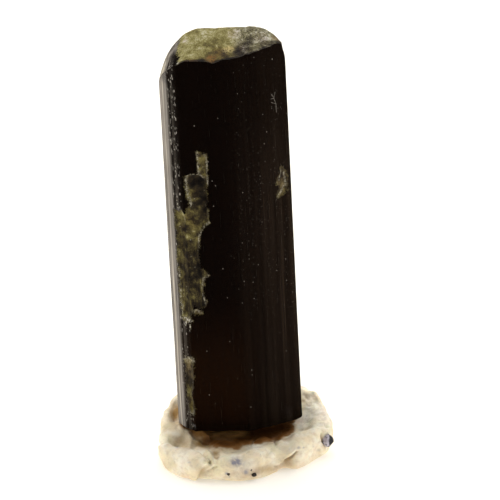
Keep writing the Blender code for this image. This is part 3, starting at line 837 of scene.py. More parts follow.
# %% [markdown]
# ## Masks and colour scales
# Patterns meet in masks: numbers from 0 to 1 that say where one finish ends and
# the next begins. A mask could be painted. Made of distances and ramps, it has no
# pixels and stays sharp at any size, so these few helpers make all of them.

# %% Masks and colour scales
def spot(tree, vector, centre, radius):
    """1 at a centre and 0 beyond a radius, in the vector's own units."""
    away = add(tree, "VectorMath", {0: vector, 1: centre}, operation="DISTANCE").outputs["Value"]
    return ramp(tree, away, radius, radius * 0.35)


def weighted(tree, start, terms):
    """start + value * factor + ..., one multiply-add for each term."""
    total = start
    for value, factor in terms:
        total = add(tree, "Math", {0: value, 1: factor, 2: total}, operation="MULTIPLY_ADD").outputs[0]
    return total


def product(tree, *values):
    """All the values multiplied together."""
    total = values[0]
    for value in values[1:]:
        total = maths(tree, "MULTIPLY", total, value)
    return total


def zone(tree, axes, limits):
    """A soft-edged region: one ramp for each (axis, from, to, ...), multiplied."""
    return product(tree, *(ramp(tree, axes[axis], *span) for axis, *span in limits))


def colour_scale(tree, value, stops):
    """A colour for each value, blended between stops of (place, colour)."""
    node = add(tree, "ValToRGB", {0: value})
    elements = node.color_ramp.elements
    while len(elements) < len(stops):
        elements.new(0.5)
    for element, (place, colour) in zip(elements, stops):
        element.position = place
        element.color = colour
    return node.outputs[0]


def hairline(tree, vector, start, end, width):
    """1 on a thin segment: |p - a - t (b - a)| against a width, with t held in 0..1."""
    along = np.array(end) - np.array(start)
    off = add(tree, "VectorMath", {0: vector, 1: start}, operation="SUBTRACT").outputs[0]
    share = add(tree, "VectorMath", {0: off, 1: tuple(along / (along @ along))},
                operation="DOT_PRODUCT").outputs["Value"]
    share = add(tree, "Clamp", {0: share}).outputs[0]
    foot = add(tree, "VectorMath", {0: tuple(along), "Scale": share}, operation="SCALE").outputs[0]
    away = add(tree, "VectorMath", {0: off, 1: foot}, operation="DISTANCE").outputs["Value"]
    return ramp(tree, away, width, width * 0.3)


def flecks(tree, place, scale, size, share):
    """Small spots: a Voronoi cell's middle, where its random colour wins a draw."""
    cells = add(tree, "TexVoronoi", {"Vector": place, "Scale": scale, "Randomness": 1.0})
    draw = add(tree, "SeparateColor", {0: cells.outputs["Color"]}).outputs
    near = ramp(tree, cells.outputs["Distance"], size, size * 0.5)
    strength = ramp(tree, draw[1], 0.0, 1.0, 0.25, 1.0)
    return product(tree, near, maths(tree, "LESS_THAN", draw[0], share), strength)


print("mask helpers ready")

# %% [markdown]
# ## The crystal's skin colour
# Dark tourmaline is glassy: almost black where the skin is whole, with a painted brown glow low down
# that stands in for light coming through, streaks along the prism that catch the light, grey strips at
# the left that are dust and painted sheen, and specks of dust that gather in rows.
# Each of these is one layer, mixed over the last through a mask.

# %% Skin of the crystal
SKIN_BLACK = (0.0034, 0.0015, 0.0008, 1.0)
# painted glow: brown that stands in for light coming through the crystal low down
SKIN_PAINTED_GLOW = (0.0100, 0.0034, 0.0007, 1.0)
SKIN_DUST = (0.024, 0.0155, 0.0100, 1.0)
# grey and pale: dust and painted sheen on the left strips and the shoulder
SKIN_GREY_DUST_AND_SHEEN = (0.27, 0.238, 0.200, 1.0)
SKIN_PALE_DUST_AND_SHEEN = (0.58, 0.52, 0.41, 1.0)
SPECK_WHITE = (0.36, 0.33, 0.29, 1.0)
# zones on the crystal: axis, from, to (mm), and the values there if not 0 and 1
PAINTED_GLOW_ZONE = [(Z, 19.0, 8.0), (X, 3.0, -0.6), (Z, 2.9, 5.0, 0.45, 1.0)]
DUST_ZONE = [(X, -1.0, 5.6, 0.02, 0.75), (Z, 42.0, 28.0, 0.35, 1.0)]
BUSY_ZONE = [(X, -0.6, 1.8), (Z, 12.0, 20.0), (Z, 40.0, 28.0, 0.35, 1.0), (Y, -0.6, -2.0)]
STRIP_ZONE = [(Y, -2.95, -3.15), (Z, 14.0, 15.0, 0.5, 1.0)]
FRONT_ZONE = [(Y, 0.0, -0.5)]
# columns of specks on the narrow face: x, half width, share of cells that show
STRIP_COLUMNS = [(-5.36, 0.17, 0.55), (-4.90, 0.30, 0.60)]
SPECK_SHARE = 0.045
BUSY_SHARE = 0.13
FAINT_SHARE = 0.36
SPECK_SHOW = (0.66, 0.46)
FAINT_SHOW = 0.15
STRIP_SHOW = 0.85
DASH_SHOW = 0.7
# a hairline crack on the right of the front face: segments (x, z) to (x, z)
CRACK = [
    ((5.12, 39.8), (4.98, 39.2)), ((4.98, 39.2), (5.16, 38.5)), ((5.16, 38.5), (5.17, 37.6)),
    ((4.98, 39.2), (4.65, 39.2)), ((5.16, 38.5), (4.73, 38.8)), ((4.98, 39.2), (4.77, 39.7)),
]
CRACK_WIDTH = 0.050


def crystal_frame(tree):
    """Object coordinates turned upright and set on the crystal's own foot, in mm."""
    shift_x = -FOOT_X * math.cos(LEAN)
    shift_z = FOOT_X * math.sin(LEAN)
    return object_place(tree, turn=(0.0, LEAN, 0.0), shift=(shift_x, -FOOT_Y, shift_z))


def strip_specks(tree, place, axes):
    """Specks and short dashes in columns on the narrow face, in clumps along them."""
    column = 0.0
    for middle, half, amount in STRIP_COLUMNS:
        away = maths(tree, "ABSOLUTE", weighted(tree, -middle, [(axes[X], 1.0)]))
        column = maths(tree, "MAXIMUM", column, ramp(tree, away, half, half * 0.5, 0.0, amount))
    clump = noise(tree, stretch(tree, place, (0.0, 0.0, 1.0)), 0.9, 3.0)
    clump = ramp(tree, clump, 0.38, 0.60, 0.25, 1.3)
    share = product(tree, zone(tree, axes, STRIP_ZONE), column, clump)
    dots = flecks(tree, drawn_out(tree, place, 0.45), 5.5, 0.46, share)
    dashes = flecks(tree, drawn_out(tree, place, 0.16), 6.0, 0.36, share)
    return maths(tree, "MAXIMUM", dots, product(tree, dashes, DASH_SHOW))


def crack_mask(tree, place, axes):
    """Hairlines on the front face, broken up by noise."""
    flat = stretch(tree, place, (1.0, 0.0, 1.0))
    crack = 0.0
    for (x0, z0), (x1, z1) in CRACK:
        line = hairline(tree, flat, (x0, 0.0, z0), (x1, 0.0, z1), CRACK_WIDTH)
        crack = maths(tree, "MAXIMUM", crack, line)
    broken = ramp(tree, noise(tree, place, 11.0, 3.0), 0.44, 0.60, 0.08, 0.62)
    return product(tree, crack, zone(tree, axes, FRONT_ZONE), broken)


def skin_colour(tree, place, streaks):
    """Black, a painted brown glow low down, dusty streaks at the right, grey left strips of dust and
    painted sheen, flecks.
    """
    axes = axes_of(tree, place)
    # painted glow: brown low down in place of light that comes through the crystal
    skin = mix_colour(tree, zone(tree, axes, PAINTED_GLOW_ZONE), SKIN_BLACK, SKIN_PAINTED_GLOW)
    panels = noise(tree, drawn_out(tree, place, 0.012), 1.1, 2.0, 0.6)
    dust = product(tree, ramp(tree, streaks, 0.32, 0.72, 0.45, 0.90),
                   ramp(tree, panels, 0.36, 0.60, 0.60, 1.20), zone(tree, axes, DUST_ZONE))
    skin = mix_colour(tree, dust, skin, SKIN_DUST)
    # grey strips: dust and painted sheen, palest where the painted sheen is brightest
    grey = attribute(tree, "grey")
    skin = mix_colour(tree, grey, skin, SKIN_GREY_DUST_AND_SHEEN)
    skin = mix_colour(tree, ramp(tree, grey, 0.9, 2.4), skin, SKIN_PALE_DUST_AND_SHEEN)
    busy = zone(tree, axes, BUSY_ZONE)
    rows = noise(tree, drawn_out(tree, place, 0.03), 1.9, 2.0, 0.6)
    rows = ramp(tree, rows, 0.48, 0.62, 0.15, 1.6)
    share = weighted(tree, SPECK_SHARE, [(product(tree, busy, rows), BUSY_SHARE)])
    speck = flecks(tree, drawn_out(tree, place, 0.7), 3.4, 0.20, share)
    share = product(tree, busy, rows, FAINT_SHARE)
    faint = flecks(tree, drawn_out(tree, place, 0.9), 6.0, 0.30, share)
    for layer, show in (
        (speck, ramp(tree, busy, 0.0, 1.0, *SPECK_SHOW)),
        (faint, FAINT_SHOW),
        (strip_specks(tree, place, axes), STRIP_SHOW),
        (crack_mask(tree, place, axes), 1.0),
    ):
        skin = mix_colour(tree, product(tree, layer, show), skin, SPECK_WHITE)
    return skin


print("skin layers over the black: 8, crack segments:", len(CRACK))

# %% [markdown]
# ## Broken stone
# Where the skin is broken the stone is olive green and matt, with pale crushed
# grains. Its brightness is a sum of terms: mottle, grain, drawn-out fibres low on
# the sides, the patches stored on the mesh, and veins and sparkles at the right of
# the crown. One colour scale turns that number into stone, and tints follow.

# %% Colour of the broken stone
STONE_STOPS = [
    (0.0, (0.006, 0.0032, 0.0015, 1.0)), (0.28, (0.036, 0.024, 0.0075, 1.0)),
    (0.55, (0.15, 0.124, 0.04, 1.0)), (0.75, (0.3, 0.268, 0.115, 1.0)), (1.0, (0.58, 0.545, 0.43, 1.0)),
]
CRUSHED = (0.42, 0.38, 0.28, 1.0)
CRUSHED_WHITE = (0.74, 0.70, 0.60, 1.0)
GOLD_TINT = (1.10, 0.86, 0.58, 1.0)
PURPLE_TINT = (0.95, 0.82, 1.15, 1.0)
RUST = (0.20, 0.092, 0.013, 1.0)
OCHRE = (0.48, 0.37, 0.14, 1.0)
OCHRE_DULL = (0.26, 0.19, 0.10, 1.0)
# stains on the crown: middle, radius, colour, amount
CROWN_STAINS = [
    ((-0.95, -3.9, 44.5), 0.75, RUST, 1.2), ((0.75, -2.8, 45.0), 0.85, OCHRE, 0.9),
    ((5.30, -0.9, 44.5), 0.80, OCHRE_DULL, 0.8), ((-2.9, -4.5, 44.2), 0.9, RUST, 0.35),
]
FIBRES_BELOW = (25.5, 23.0)
RIGHT_OF_CROWN = (0.6, 2.4)
CRUMB_SHARE = 0.16
CRUMB_SHOW = 0.55


def thin_veins(tree, place, scale, detail, width):
    """1 along the lines where a noise passes 0.5, falling to 0 at a width from them."""
    ridge = noise(tree, place, scale, detail, 0.6)
    ridge = maths(tree, "ABSOLUTE", weighted(tree, -0.5, [(ridge, 1.0)]))
    return ramp(tree, ridge, *width)


def stone_colour(tree, place):
    """Olive stone by a brightness: patches, mottle, grain and, on the sides, fibres."""
    axes = axes_of(tree, place)
    crown = attribute(tree, "crown")
    side = maths(tree, "SUBTRACT", 1.0, crown)
    right = product(tree, crown, ramp(tree, axes[X], *RIGHT_OF_CROWN))
    mottle = noise(tree, place, 1.5, 5.0, 0.6)
    grain = noise(tree, place, 9.0, 4.0, 0.75)
    fibres = noise(tree, drawn_out(tree, place, 0.20), 4.6, 5.0, 0.72)
    crumbs = weighted(tree, 0.165, [(noise(tree, place, 1.9, 4.0, 0.6), 0.67)])
    low_down = ramp(tree, axes[Z], *FIBRES_BELOW)
    fibres = add(tree, "Mix", {0: low_down, 2: crumbs, 3: fibres}).outputs[0]
    vein = product(tree, right, thin_veins(tree, place, 2.2, 3.0, (0.030, 0.008)))
    sparkle = thin_veins(tree, stretch(tree, place, (1.0, 1.6, 1.0)), 3.6, 3.0, (0.022, 0.006))
    white = product(tree, right, sparkle, ramp(tree, mottle, 0.45, 0.58))
    bright = weighted(tree, -0.45, [
        (mottle, 1.05), (grain, 1.10), (attribute(tree, "tone"), 0.46),
        (product(tree, mottle, side), -0.05), (product(tree, grain, side), -0.36),
        (product(tree, fibres, side), 1.20), (side, -0.645),
        (right, -0.03), (vein, -0.40), (white, 0.40),
    ])
    stone = colour_scale(tree, bright, STONE_STOPS)
    calmer = weighted(tree, 1.16, [(right, -0.30), (white, -0.30), (side, -0.08)])
    stone = add(tree, "HueSaturation", {"Saturation": calmer, "Color": stone}).outputs[0]
    hue = attribute(tree, "hue")
    stone = mix_colour(tree, ramp(tree, hue, 0.0, 1.0), stone, GOLD_TINT, "MULTIPLY")
    stone = mix_colour(tree, ramp(tree, hue, 0.0, -1.0), stone, PURPLE_TINT, "MULTIPLY")
    patchy = ramp(tree, noise(tree, place, 4.5, 5.0, 0.75), 0.42, 0.54)
    for centre, radius, colour, amount in CROWN_STAINS:
        there = product(tree, spot(tree, place, centre, radius), patchy, crown, amount)
        stone = mix_colour(tree, there, stone, colour)
    stored = attribute(tree, "crushed")
    crumble = noise(tree, place, 5.0, 4.0, 0.75)
    crushed = product(tree, stored, ramp(tree, crumble, 0.44, 0.62, 0.0, 1.45))
    pale = mix_colour(tree, ramp(tree, stored, 0.60, 0.95), CRUSHED, CRUSHED_WHITE)
    crumb = product(tree, flecks(tree, place, 3.0, 0.26, CRUMB_SHARE), side, CRUMB_SHOW)
    stone = mix_colour(tree, crumb, stone, CRUSHED)
    return mix_colour(tree, crushed, stone, pale), grain, crushed


print("stone stops:", len(STONE_STOPS), "and crown stains:", len(CROWN_STAINS))

# %% [markdown]
# ## One shader for skin and stone
# Two materials could meet along the scars' outlines, but their border would follow
# the mesh. One shader does both: the stored "scar" distance, roughened by noise,
# chooses colour, gloss and grain together, so that a scar's edge in the colour is
# its edge in the surface too.

# %% Material of the crystal
CRYSTAL_IOR = 1.63
SKIN_GLOSS = 0.22
SKIN_ROUGHNESS = (0.10, 0.29)
STONE_ROUGHNESS = 0.70
RIB_BUMP = 0.00003
GRAIN_BUMP = 0.00010


def make_crystal_material():
    """Black striated skin, and olive broken stone inside the scars and on the crown."""
    material, tree, shader = new_material("tourmaline")
    place = crystal_frame(tree)
    streak_place = drawn_out(tree, place, 0.02)
    streaks = noise(tree, streak_place, 5.0, 3.0, 0.7)
    fine_streaks = noise(tree, streak_place, 16.0, 2.0, 0.6)
    skin = skin_colour(tree, place, streaks)
    stone, grain, crushed = stone_colour(tree, place)
    edge = noise(tree, place, 3.5, 5.0, 0.8)
    bare = weighted(tree, -0.62, [(attribute(tree, "scar"), 1.0), (edge, 1.20)])
    bare = ramp(tree, bare, -0.06, 0.08)
    bare = maths(tree, "MAXIMUM", bare, product(tree, crushed, 0.9))
    skin_rough = ramp(tree, fine_streaks, 0.3, 0.8, *SKIN_ROUGHNESS)
    stone_rough = product(tree, bare, STONE_ROUGHNESS)
    plug(tree, shader, {
        "Base Color": mix_colour(tree, bare, skin, stone),
        "Roughness": maths(tree, "MAXIMUM", skin_rough, stone_rough),
        "IOR": CRYSTAL_IOR,
        "Specular IOR Level": SKIN_GLOSS,
    })
    lines = add(tree, "Bump", {"Strength": 0.26, "Distance": RIB_BUMP, "Height": fine_streaks})
    grains = add(tree, "Bump", {"Strength": 0.8, "Distance": GRAIN_BUMP,
                                "Height": product(tree, grain, bare), "Normal": lines.outputs[0]})
    plug(tree, shader, {"Normal": grains.outputs[0]})
    return material


crystal.data.materials.append(make_crystal_material())
print("crystal material:", len(crystal.data.materials[0].node_tree.nodes), "nodes")

# %% [markdown]
# ## The shape of the dab
# The putty was kneaded, set down and pressed with a finger: a flat underside, a
# rolled rim, a hollow in front of the crystal and a mound that grips its foot.
# It could be sculpted by hand. Here the same idea is a formula: two tables give
# the outline's radius and the rim's height for each direction, and a point
# climbs the rounded side and then runs in over the top.

# %% Tables and profile of the dab
OUTLINE = [
    (-180, 8.8), (-165, 9.2), (-150, 10.0), (-138, 10.4), (-126, 10.2), (-114, 9.2), (-98, 8.9),
    (-84, 8.5), (-70, 7.8), (-59, 7.2), (-50, 8.2), (-33, 8.3), (-18, 8.8), (0, 8.9), (17, 8.6),
    (35, 8.6), (50, 8.7), (70, 8.7), (90, 8.6), (118, 8.5), (138, 8.8), (160, 8.8),
]
RIM_HEIGHT = [
    (-180, 2.3), (-152, 1.8), (-128, 2.1), (-104, 2.4), (-80, 2.5), (-62, 2.2), (-42, 2.6), (-20, 2.8),
    (8, 2.6), (30, 3.0), (55, 2.8), (90, 3.0), (130, 2.7), (158, 2.4),
]
RIM_ROUNDING = 0.95
RIM_START = math.radians(-40.0)
DISH_LEVEL = 1.5
DISH_EDGE = 0.58
RIM_CREST = 0.84
# middle x and y, height, half sizes
MOUND = (0.2, 3.6, 1.9, 6.2, 4.0)


def read_table(table, angle):
    """Catmull-Rom through the table's values, closed round the full turn."""
    places, values = np.array(table, float).T
    count = len(places)
    upper = np.searchsorted(places, angle, side="right")
    start = (upper - 1) % count
    end = upper % count
    span = (places[end] - places[start]) % 360.0
    t = ((angle - places[start]) % 360.0) / span
    rise = 0.5 * (values[end] - values[start - 1])
    run_out = 0.5 * (values[(end + 1) % count] - values[start])
    return ((2 * t**3 - 3 * t**2 + 1) * values[start] + (t**3 - 2 * t**2 + t) * rise
            + (3 * t**2 - 2 * t**3) * values[end] + (t**3 - t**2) * run_out)


def dab_height(x, y, radius, rim):
    """A dish inside the rim, plus a mound behind that fades by its elliptic distance."""
    u = np.hypot(x, y) / radius
    dish = DISH_LEVEL + (rim - DISH_LEVEL) * smoothstep(DISH_EDGE, RIM_CREST, u)
    middle_x, middle_y, height, half_x, half_y = MOUND
    across = np.hypot((x - middle_x) / half_x, (y - middle_y) / half_y)
    return dish + height * (1.0 - smoothstep(0.35, 1.15, across))


def dab_skin(angle, t):
    """The undented dab: t from 0 to 1 climbs the rounded side, 1 to 2 runs to the middle."""
    radius = read_table(OUTLINE, angle)
    rim = read_table(RIM_HEIGHT, angle)
    shoulder = radius - RIM_ROUNDING
    turn = RIM_START + (math.pi / 2 - RIM_START) * np.clip(t, 0.0, 1.0)
    bulge = np.maximum(np.cos(turn), 0.0) ** 0.8
    reach = np.where(t <= 1.0, shoulder + RIM_ROUNDING * bulge, shoulder * (2.0 - t))
    x = reach * np.cos(np.radians(angle))
    y = reach * np.sin(np.radians(angle))
    crest_x = shoulder * np.cos(np.radians(angle))
    crest_y = shoulder * np.sin(np.radians(angle))
    crest = dab_height(crest_x, crest_y, radius, rim)
    low = math.sin(RIM_START)
    climb = crest * (np.sin(turn) - low) / (1.0 - low)
    return stack(x, y, np.where(t <= 1.0, climb, dab_height(x, y, radius, rim)))


compass = np.array([-90.0, 0.0, 90.0, 180.0])
print("dab radius, front, right, back, left:", read_table(OUTLINE, compass).round(1))


# %% [markdown]
# ## Lumps, folds, stains and painted shade
# A finger leaves dimples, rolled putty leaves lumps, and where two lobes meet one
# laps over the other. They could be sculpted one by one. Here each is one line in
# a list, laid out on one plane that leans back by 28 degrees, so that a single
# pair of numbers reaches the rim's front and its top alike.
# A flap is a crest with a broad side and a steep side. The same plane carries the stains and the
# painted shade. The back has lumps of its own, and finer wrinkles come from noise.

# %% Lists of dents, stains and painted shade
# soft lumps and hollows: across, up, half sizes, height
LUMPS = [
    (-7.22, 2.46, 0.5, 0.55, -0.75), (-7.33, 3.36, 0.4, 0.35, -0.2), (-6.72, -0.24, 0.75, 0.5, -0.62),
    (-6.53, 1.26, 0.4, 0.5, 0.35), (-4.03, -0.44, 0.7, 0.45, -0.55), (-3.12, -1.34, 0.35, 0.3, -0.45),
    (0.38, -0.24, 0.5, 0.35, 0.15), (1.77, -0.54, 0.8, 0.5, 0.15), (2.88, -0.44, 0.35, 0.4, -0.08),
    (3.58, -0.24, 0.4, 0.3, 0.2), (6.17, 1.66, 0.6, 0.4, -0.12), (7.58, 2.66, 0.8, 0.8, 0.18),
    (6.17, 4.26, 0.4, 0.35, -0.28), (5.78, 3.76, 0.25, 0.25, -0.15), (-4.12, -1.84, 0.35, 0.3, -0.05),
    (-4.33, -3.04, 0.55, 0.6, -0.3), (4.28, -2.34, 0.6, 0.36, -0.16), (-8.22, 0.96, 0.3, 0.4, -0.14),
    (-7.93, 0.06, 0.3, 0.3, 0.12), (-1.02, -1.04, 0.9, 0.3, -0.15), (-5.62, -2.44, 0.8, 0.6, 0.2),
    (-0.62, -2.64, 1.4, 0.7, 0.12), (5.97, -1.04, 1.2, 0.6, 0.12), (8.07, 0.06, 0.5, 0.7, -0.15),
]
# ridges (+) and creases (-): places along them, half width, height
RIDGES = [
    ([(-6.03, 0.96), (-5.62, 0.16), (-5.72, -0.74)], 0.3, 0.25),
    ([(-4.92, -0.94), (-4.22, -1.09), (-3.62, -1.39), (-3.27, -1.84), (-3.23, -2.24)], 0.19, 0.38),
    ([(5.88, 5.06), (6.47, 4.86), (6.97, 4.36), (7.28, 3.86)], 0.25, 0.35),
    ([(-3.33, -2.24), (-3.02, -2.54), (-3.52, -2.89), (-3.83, -3.14)], 0.13, -0.18),
    ([(2.88, -0.24), (2.58, -0.84), (1.98, -1.44)], 0.32, -0.2),
    ([(5.08, -1.14), (4.78, -1.44), (4.47, -1.84), (3.98, -2.09)], 0.15, -0.5),
    ([(1.18, -2.84), (2.17, -2.44), (3.17, -2.04)], 0.3, -0.15),
    ([(7.62, 0.66), (7.88, -0.24), (8.18, -0.74)], 0.14, -0.3),
    ([(-5.42, 0.46), (-4.62, 0.16), (-3.83, -0.04)], 0.16, -0.25),
]
# flaps: places along the crest, height, broad side, steep side
FLAPS = [
    ([(-8.82, -0.84), (-7.82, -0.59), (-7.03, -0.84), (-6.22, -1.04), (-5.42, -1.14), (-4.62, -1.54),
      (-4.03, -2.04)], 0.38, 0.55, 0.16),
    ([(-3.92, -2.14), (-4.42, -2.54), (-4.83, -3.04), (-5.08, -3.84)], 0.35, 0.6, 0.15),
    ([(-2.92, -2.44), (-2.23, -1.94), (-1.43, -1.59), (-0.43, -1.39), (0.57, -1.04)], 0.16, 0.6, 0.4),
    ([(0.78, -0.44), (1.07, -0.14), (1.38, 0.01), (1.77, 0.06), (2.17, -0.04), (2.58, -0.29)],
      0.24, 0.5, 0.13),
    ([(3.08, -0.14), (3.77, 0.16), (4.58, 0.31), (5.58, 0.56), (6.58, 0.86), (7.88, 1.06)],
      0.28, 0.6, 0.17),
    ([(5.08, -1.14), (4.17, -1.64), (3.27, -2.34)], 0.18, 0.4, 0.15),
    ([(-5.62, 0.91), (-4.83, 0.81), (-4.22, 0.56), (-3.83, 0.31)], 0.3, 0.2, 0.15),
]
# lumps of the back: middle, radius, height
BACK_LUMPS = [
    ((-7.6, 4.4, 2.6), 1.2, 0.35), ((3.8, 7.6, 2.8), 1.2, 0.4), ((-3.0, 7.9, 2.6), 1.3, 0.35),
    ((0.8, 8.6, 1.4), 1.0, -0.28), ((6.6, 5.8, 2.2), 0.8, -0.26), ((-5.6, 6.6, 2.4), 0.7, -0.26),
    ((0.4, 6.0, 4.6), 1.1, 0.3), ((-3.6, 5.2, 4.4), 0.9, -0.3), ((4.6, 4.8, 4.0), 0.9, -0.25),
]
# tan painted shade in dents, creases and low on the front, and grey stains: across, up, half sizes,
# amount
TAN_PAINTED_SHADE = [
    (-7.22, 2.46, 0.6, 0.8, 1.1), (-6.72, -0.24, 0.9, 0.6, 0.55), (-6.1, -0.9, 0.5, 0.4, 0.3),
    (-4.03, -0.44, 0.7, 0.4, 0.9), (-4.8, -0.35, 0.9, 0.5, 0.75), (-7.4, 1.3, 0.7, 0.7, 0.3),
    (5.0, 0.2, 1.6, 0.5, 0.14), (-3.12, -1.34, 0.4, 0.3, 0.8), (-4.33, -3.04, 0.6, 0.6, 0.35),
    (4.28, -2.24, 0.7, 0.4, 0.6), (6.17, 4.26, 0.4, 0.4, 0.4), (5.78, 3.76, 0.3, 0.3, 0.4),
    (2.38, -2.84, 1.2, 0.4, 0.45), (0.2, -3.3, 2.2, 0.8, 0.34), (-8.32, -2.64, 0.6, 0.5, 0.3),
    (-1.32, -0.94, 1.4, 0.4, 0.45), (-3.62, -0.54, 0.3, 0.25, 0.6), (-8.22, 0.96, 0.4, 0.5, 0.25),
    (-4.12, -1.94, 0.3, 0.25, 0.25), (-4.92, 0.56, 0.8, 0.3, 0.6), (-7.03, 3.06, 0.4, 0.5, 0.4),
]
GREY_STAINS = [
    (-1.02, -2.04, 0.6, 0.4, 0.75), (-1.32, -2.24, 0.2, 0.16, 0.6), (-0.82, -2.14, 0.2, 0.16, 0.6),
    (-0.62, -2.64, 1.2, 0.8, 0.22), (-0.03, -3.14, 0.22, 0.3, 0.6), (6.17, 1.66, 0.9, 0.6, 0.16),
    (7.88, 2.16, 0.8, 1.2, 0.16), (3.88, -0.84, 1.0, 0.6, 0.14), (0.17, -0.34, 0.6, 0.4, 0.25),
    (5.28, -0.74, 0.13, 0.11, 0.8), (5.78, -0.74, 0.1, 0.08, 0.6), (7.33, -1.04, 0.13, 0.13, 0.75),
    (6.78, -0.64, 0.1, 0.1, 0.4), (-6.97, -0.69, 0.15, 0.1, 0.5), (-5.72, -2.14, 0.15, 0.1, 0.35),
    (-1.98, -3.24, 0.16, 0.16, 0.9), (-1.73, -3.59, 0.12, 0.12, 0.7), (-2.33, -3.94, 0.13, 0.1, 0.8),
]
# lines of deep shade round the crystal's foot: places, half width, softness, strength
FOOT_SHADE = [
    ([(-6.2, 1.4), (-4.8, 0.9), (-3.6, 0.5)], 0.44, 0.45, 1.3),
    ([(-3.2, 0.3), (-0.8, 0.3)], 0.5, 0.5, 0.9),
    ([(-4.0, -0.1), (-3.2, -0.3), (-2.0, -0.42), (-0.8, -0.34)], 0.38, 0.5, 1.75),
    ([(-0.4, 0.26), (0.6, 0.44), (2.6, 0.64), (4.0, 1.15)], 0.6, 0.66, 2.4),
    ([(3.9, 1.25), (4.5, 1.75), (5.0, 2.35)], 0.16, 0.42, 2.6),
]


print("dents:", len(LUMPS + RIDGES + FLAPS + BACK_LUMPS), "and stains:", len(TAN_PAINTED_SHADE + GREY_STAINS))

# %% [markdown]
# ## Dents as one movement
# Each list is a sum of bells: over a place, across a line, or with one steep side.
# Added up they say how far every point moves along the surface's facing, so that
# a lump on the rim swells outward and a lump on top swells upward.

# %% Movement, stains and painted shade of the dab
FRONT_END = (4.8, 3.6)
UNEVEN = 0.10
WRINKLE = 0.045
FACET = 0.10
LUMP_RAGGED = 0.4
SHADE_RAGGED = 0.16
FLAP_GROOVE = 0.55


def leaning_plane(points):
    """Across and up on the leaning plane: x, and y sin(a) + z cos(a)."""
    x, y, z = np.moveaxis(points, -1, 0)
    return x, y * math.sin(VIEW_DOWN) + z * math.cos(VIEW_DOWN)


def line_reach(x, w, line):
    """Distance to a run of segments, negative on the right-hand side of its travel."""
    nearest = np.full(x.shape, 1e9)
    side = np.ones(x.shape)
    for start, end in zip(line[:-1], line[1:]):
        away = segment_distance(x, w, start, end)
        (x0, w0), (x1, w1) = start, end
        turn = (x1 - x0) * (w - w0) - (w1 - w0) * (x - x0)
        side = np.where(away < nearest, np.where(turn >= 0.0, 1.0, -1.0), side)
        nearest = np.minimum(nearest, away)
    return nearest * side


def front_dents(x, w):
    """Lumps, ridges (bells across a line) and flaps (a bell with one steep side and a groove)."""
    move = sum_of_patches(x, w, LUMPS)
    for line, width, height in RIDGES:
        move = move + height * bell(line_reach(x, w, line), width)
    for line, height, broad, steep in FLAPS:
        away = line_reach(x, w, line)
        crest = bell(away, np.where(away < 0.0, broad, steep))
        groove = np.where(away > 0.0, bell(away - 1.8 * steep, 1.2 * steep), 0.0)
        move = move + height * (crest - FLAP_GROOVE * groove)
    return move


def dent(points):
    """Front and back dents, broad unevenness, pinches and fine wrinkles."""
    x, w = leaning_plane(points)
    front = smoothstep(*FRONT_END, points[..., 1])
    move = UNEVEN * rough(points, 2.2, 61) + front * front_dents(x, w)
    ragged = LUMP_RAGGED * rough(points, 1.5, 68, 2)
    for middle, radius, height in BACK_LUMPS:
        away = np.linalg.norm(points - np.array(middle), axis=-1) + ragged
        move = move + height * bell(away, radius)
    wrinkles = rough(points * np.array([0.7, 1.0, 1.2]), 0.8, 62, 5)
    facets = np.abs(rough(points, 1.3, 66, 2))
    return move + WRINKLE * wrinkles - FACET * facets


def stains_and_painted_shade(points):
    """Amounts of tan painted shade, of grey stain and of deep painted shade for each point."""
    x, w = leaning_plane(points)
    front = smoothstep(*FRONT_END, points[..., 1])
    # painted shade: tan in the listed dents, creases and low on the front
    tan_shade = sum_of_patches(x, w, TAN_PAINTED_SHADE) * front
    grey = sum_of_patches(x, w, GREY_STAINS) * front
    shade = np.zeros(x.shape)
    ragged = SHADE_RAGGED * rough(points, 0.7, 67, 3)
    for line, width, soft, strength in FOOT_SHADE:
        away = np.abs(line_reach(x, w, line)) + ragged
        shade = np.maximum(shade, strength * smoothstep(width + soft, width - soft, away))
    return tan_shade, grey, shade * front


pinch = line_reach(np.array([-5.0, 5.0]), np.array([0.0, 1.0]), RIDGES[0][0])
print("two places lie", pinch.round(2), "mm from the first ridge")


# %% [markdown]
# ## The putty's skin
# The facing of the surface is worked out from its own formula: the cross product
# of a small step round and a small step up. Underneath, the rings lie flat on
# the table.

# %% Build the putty
PUTTY_AROUND = 460
SIDE_STEPS = 70
TOP_STEPS = 104
UNDER_STEPS = 6
STEP_UP = 0.03
STEP_ROUND = 0.8
BOX_MARGIN = 0.01


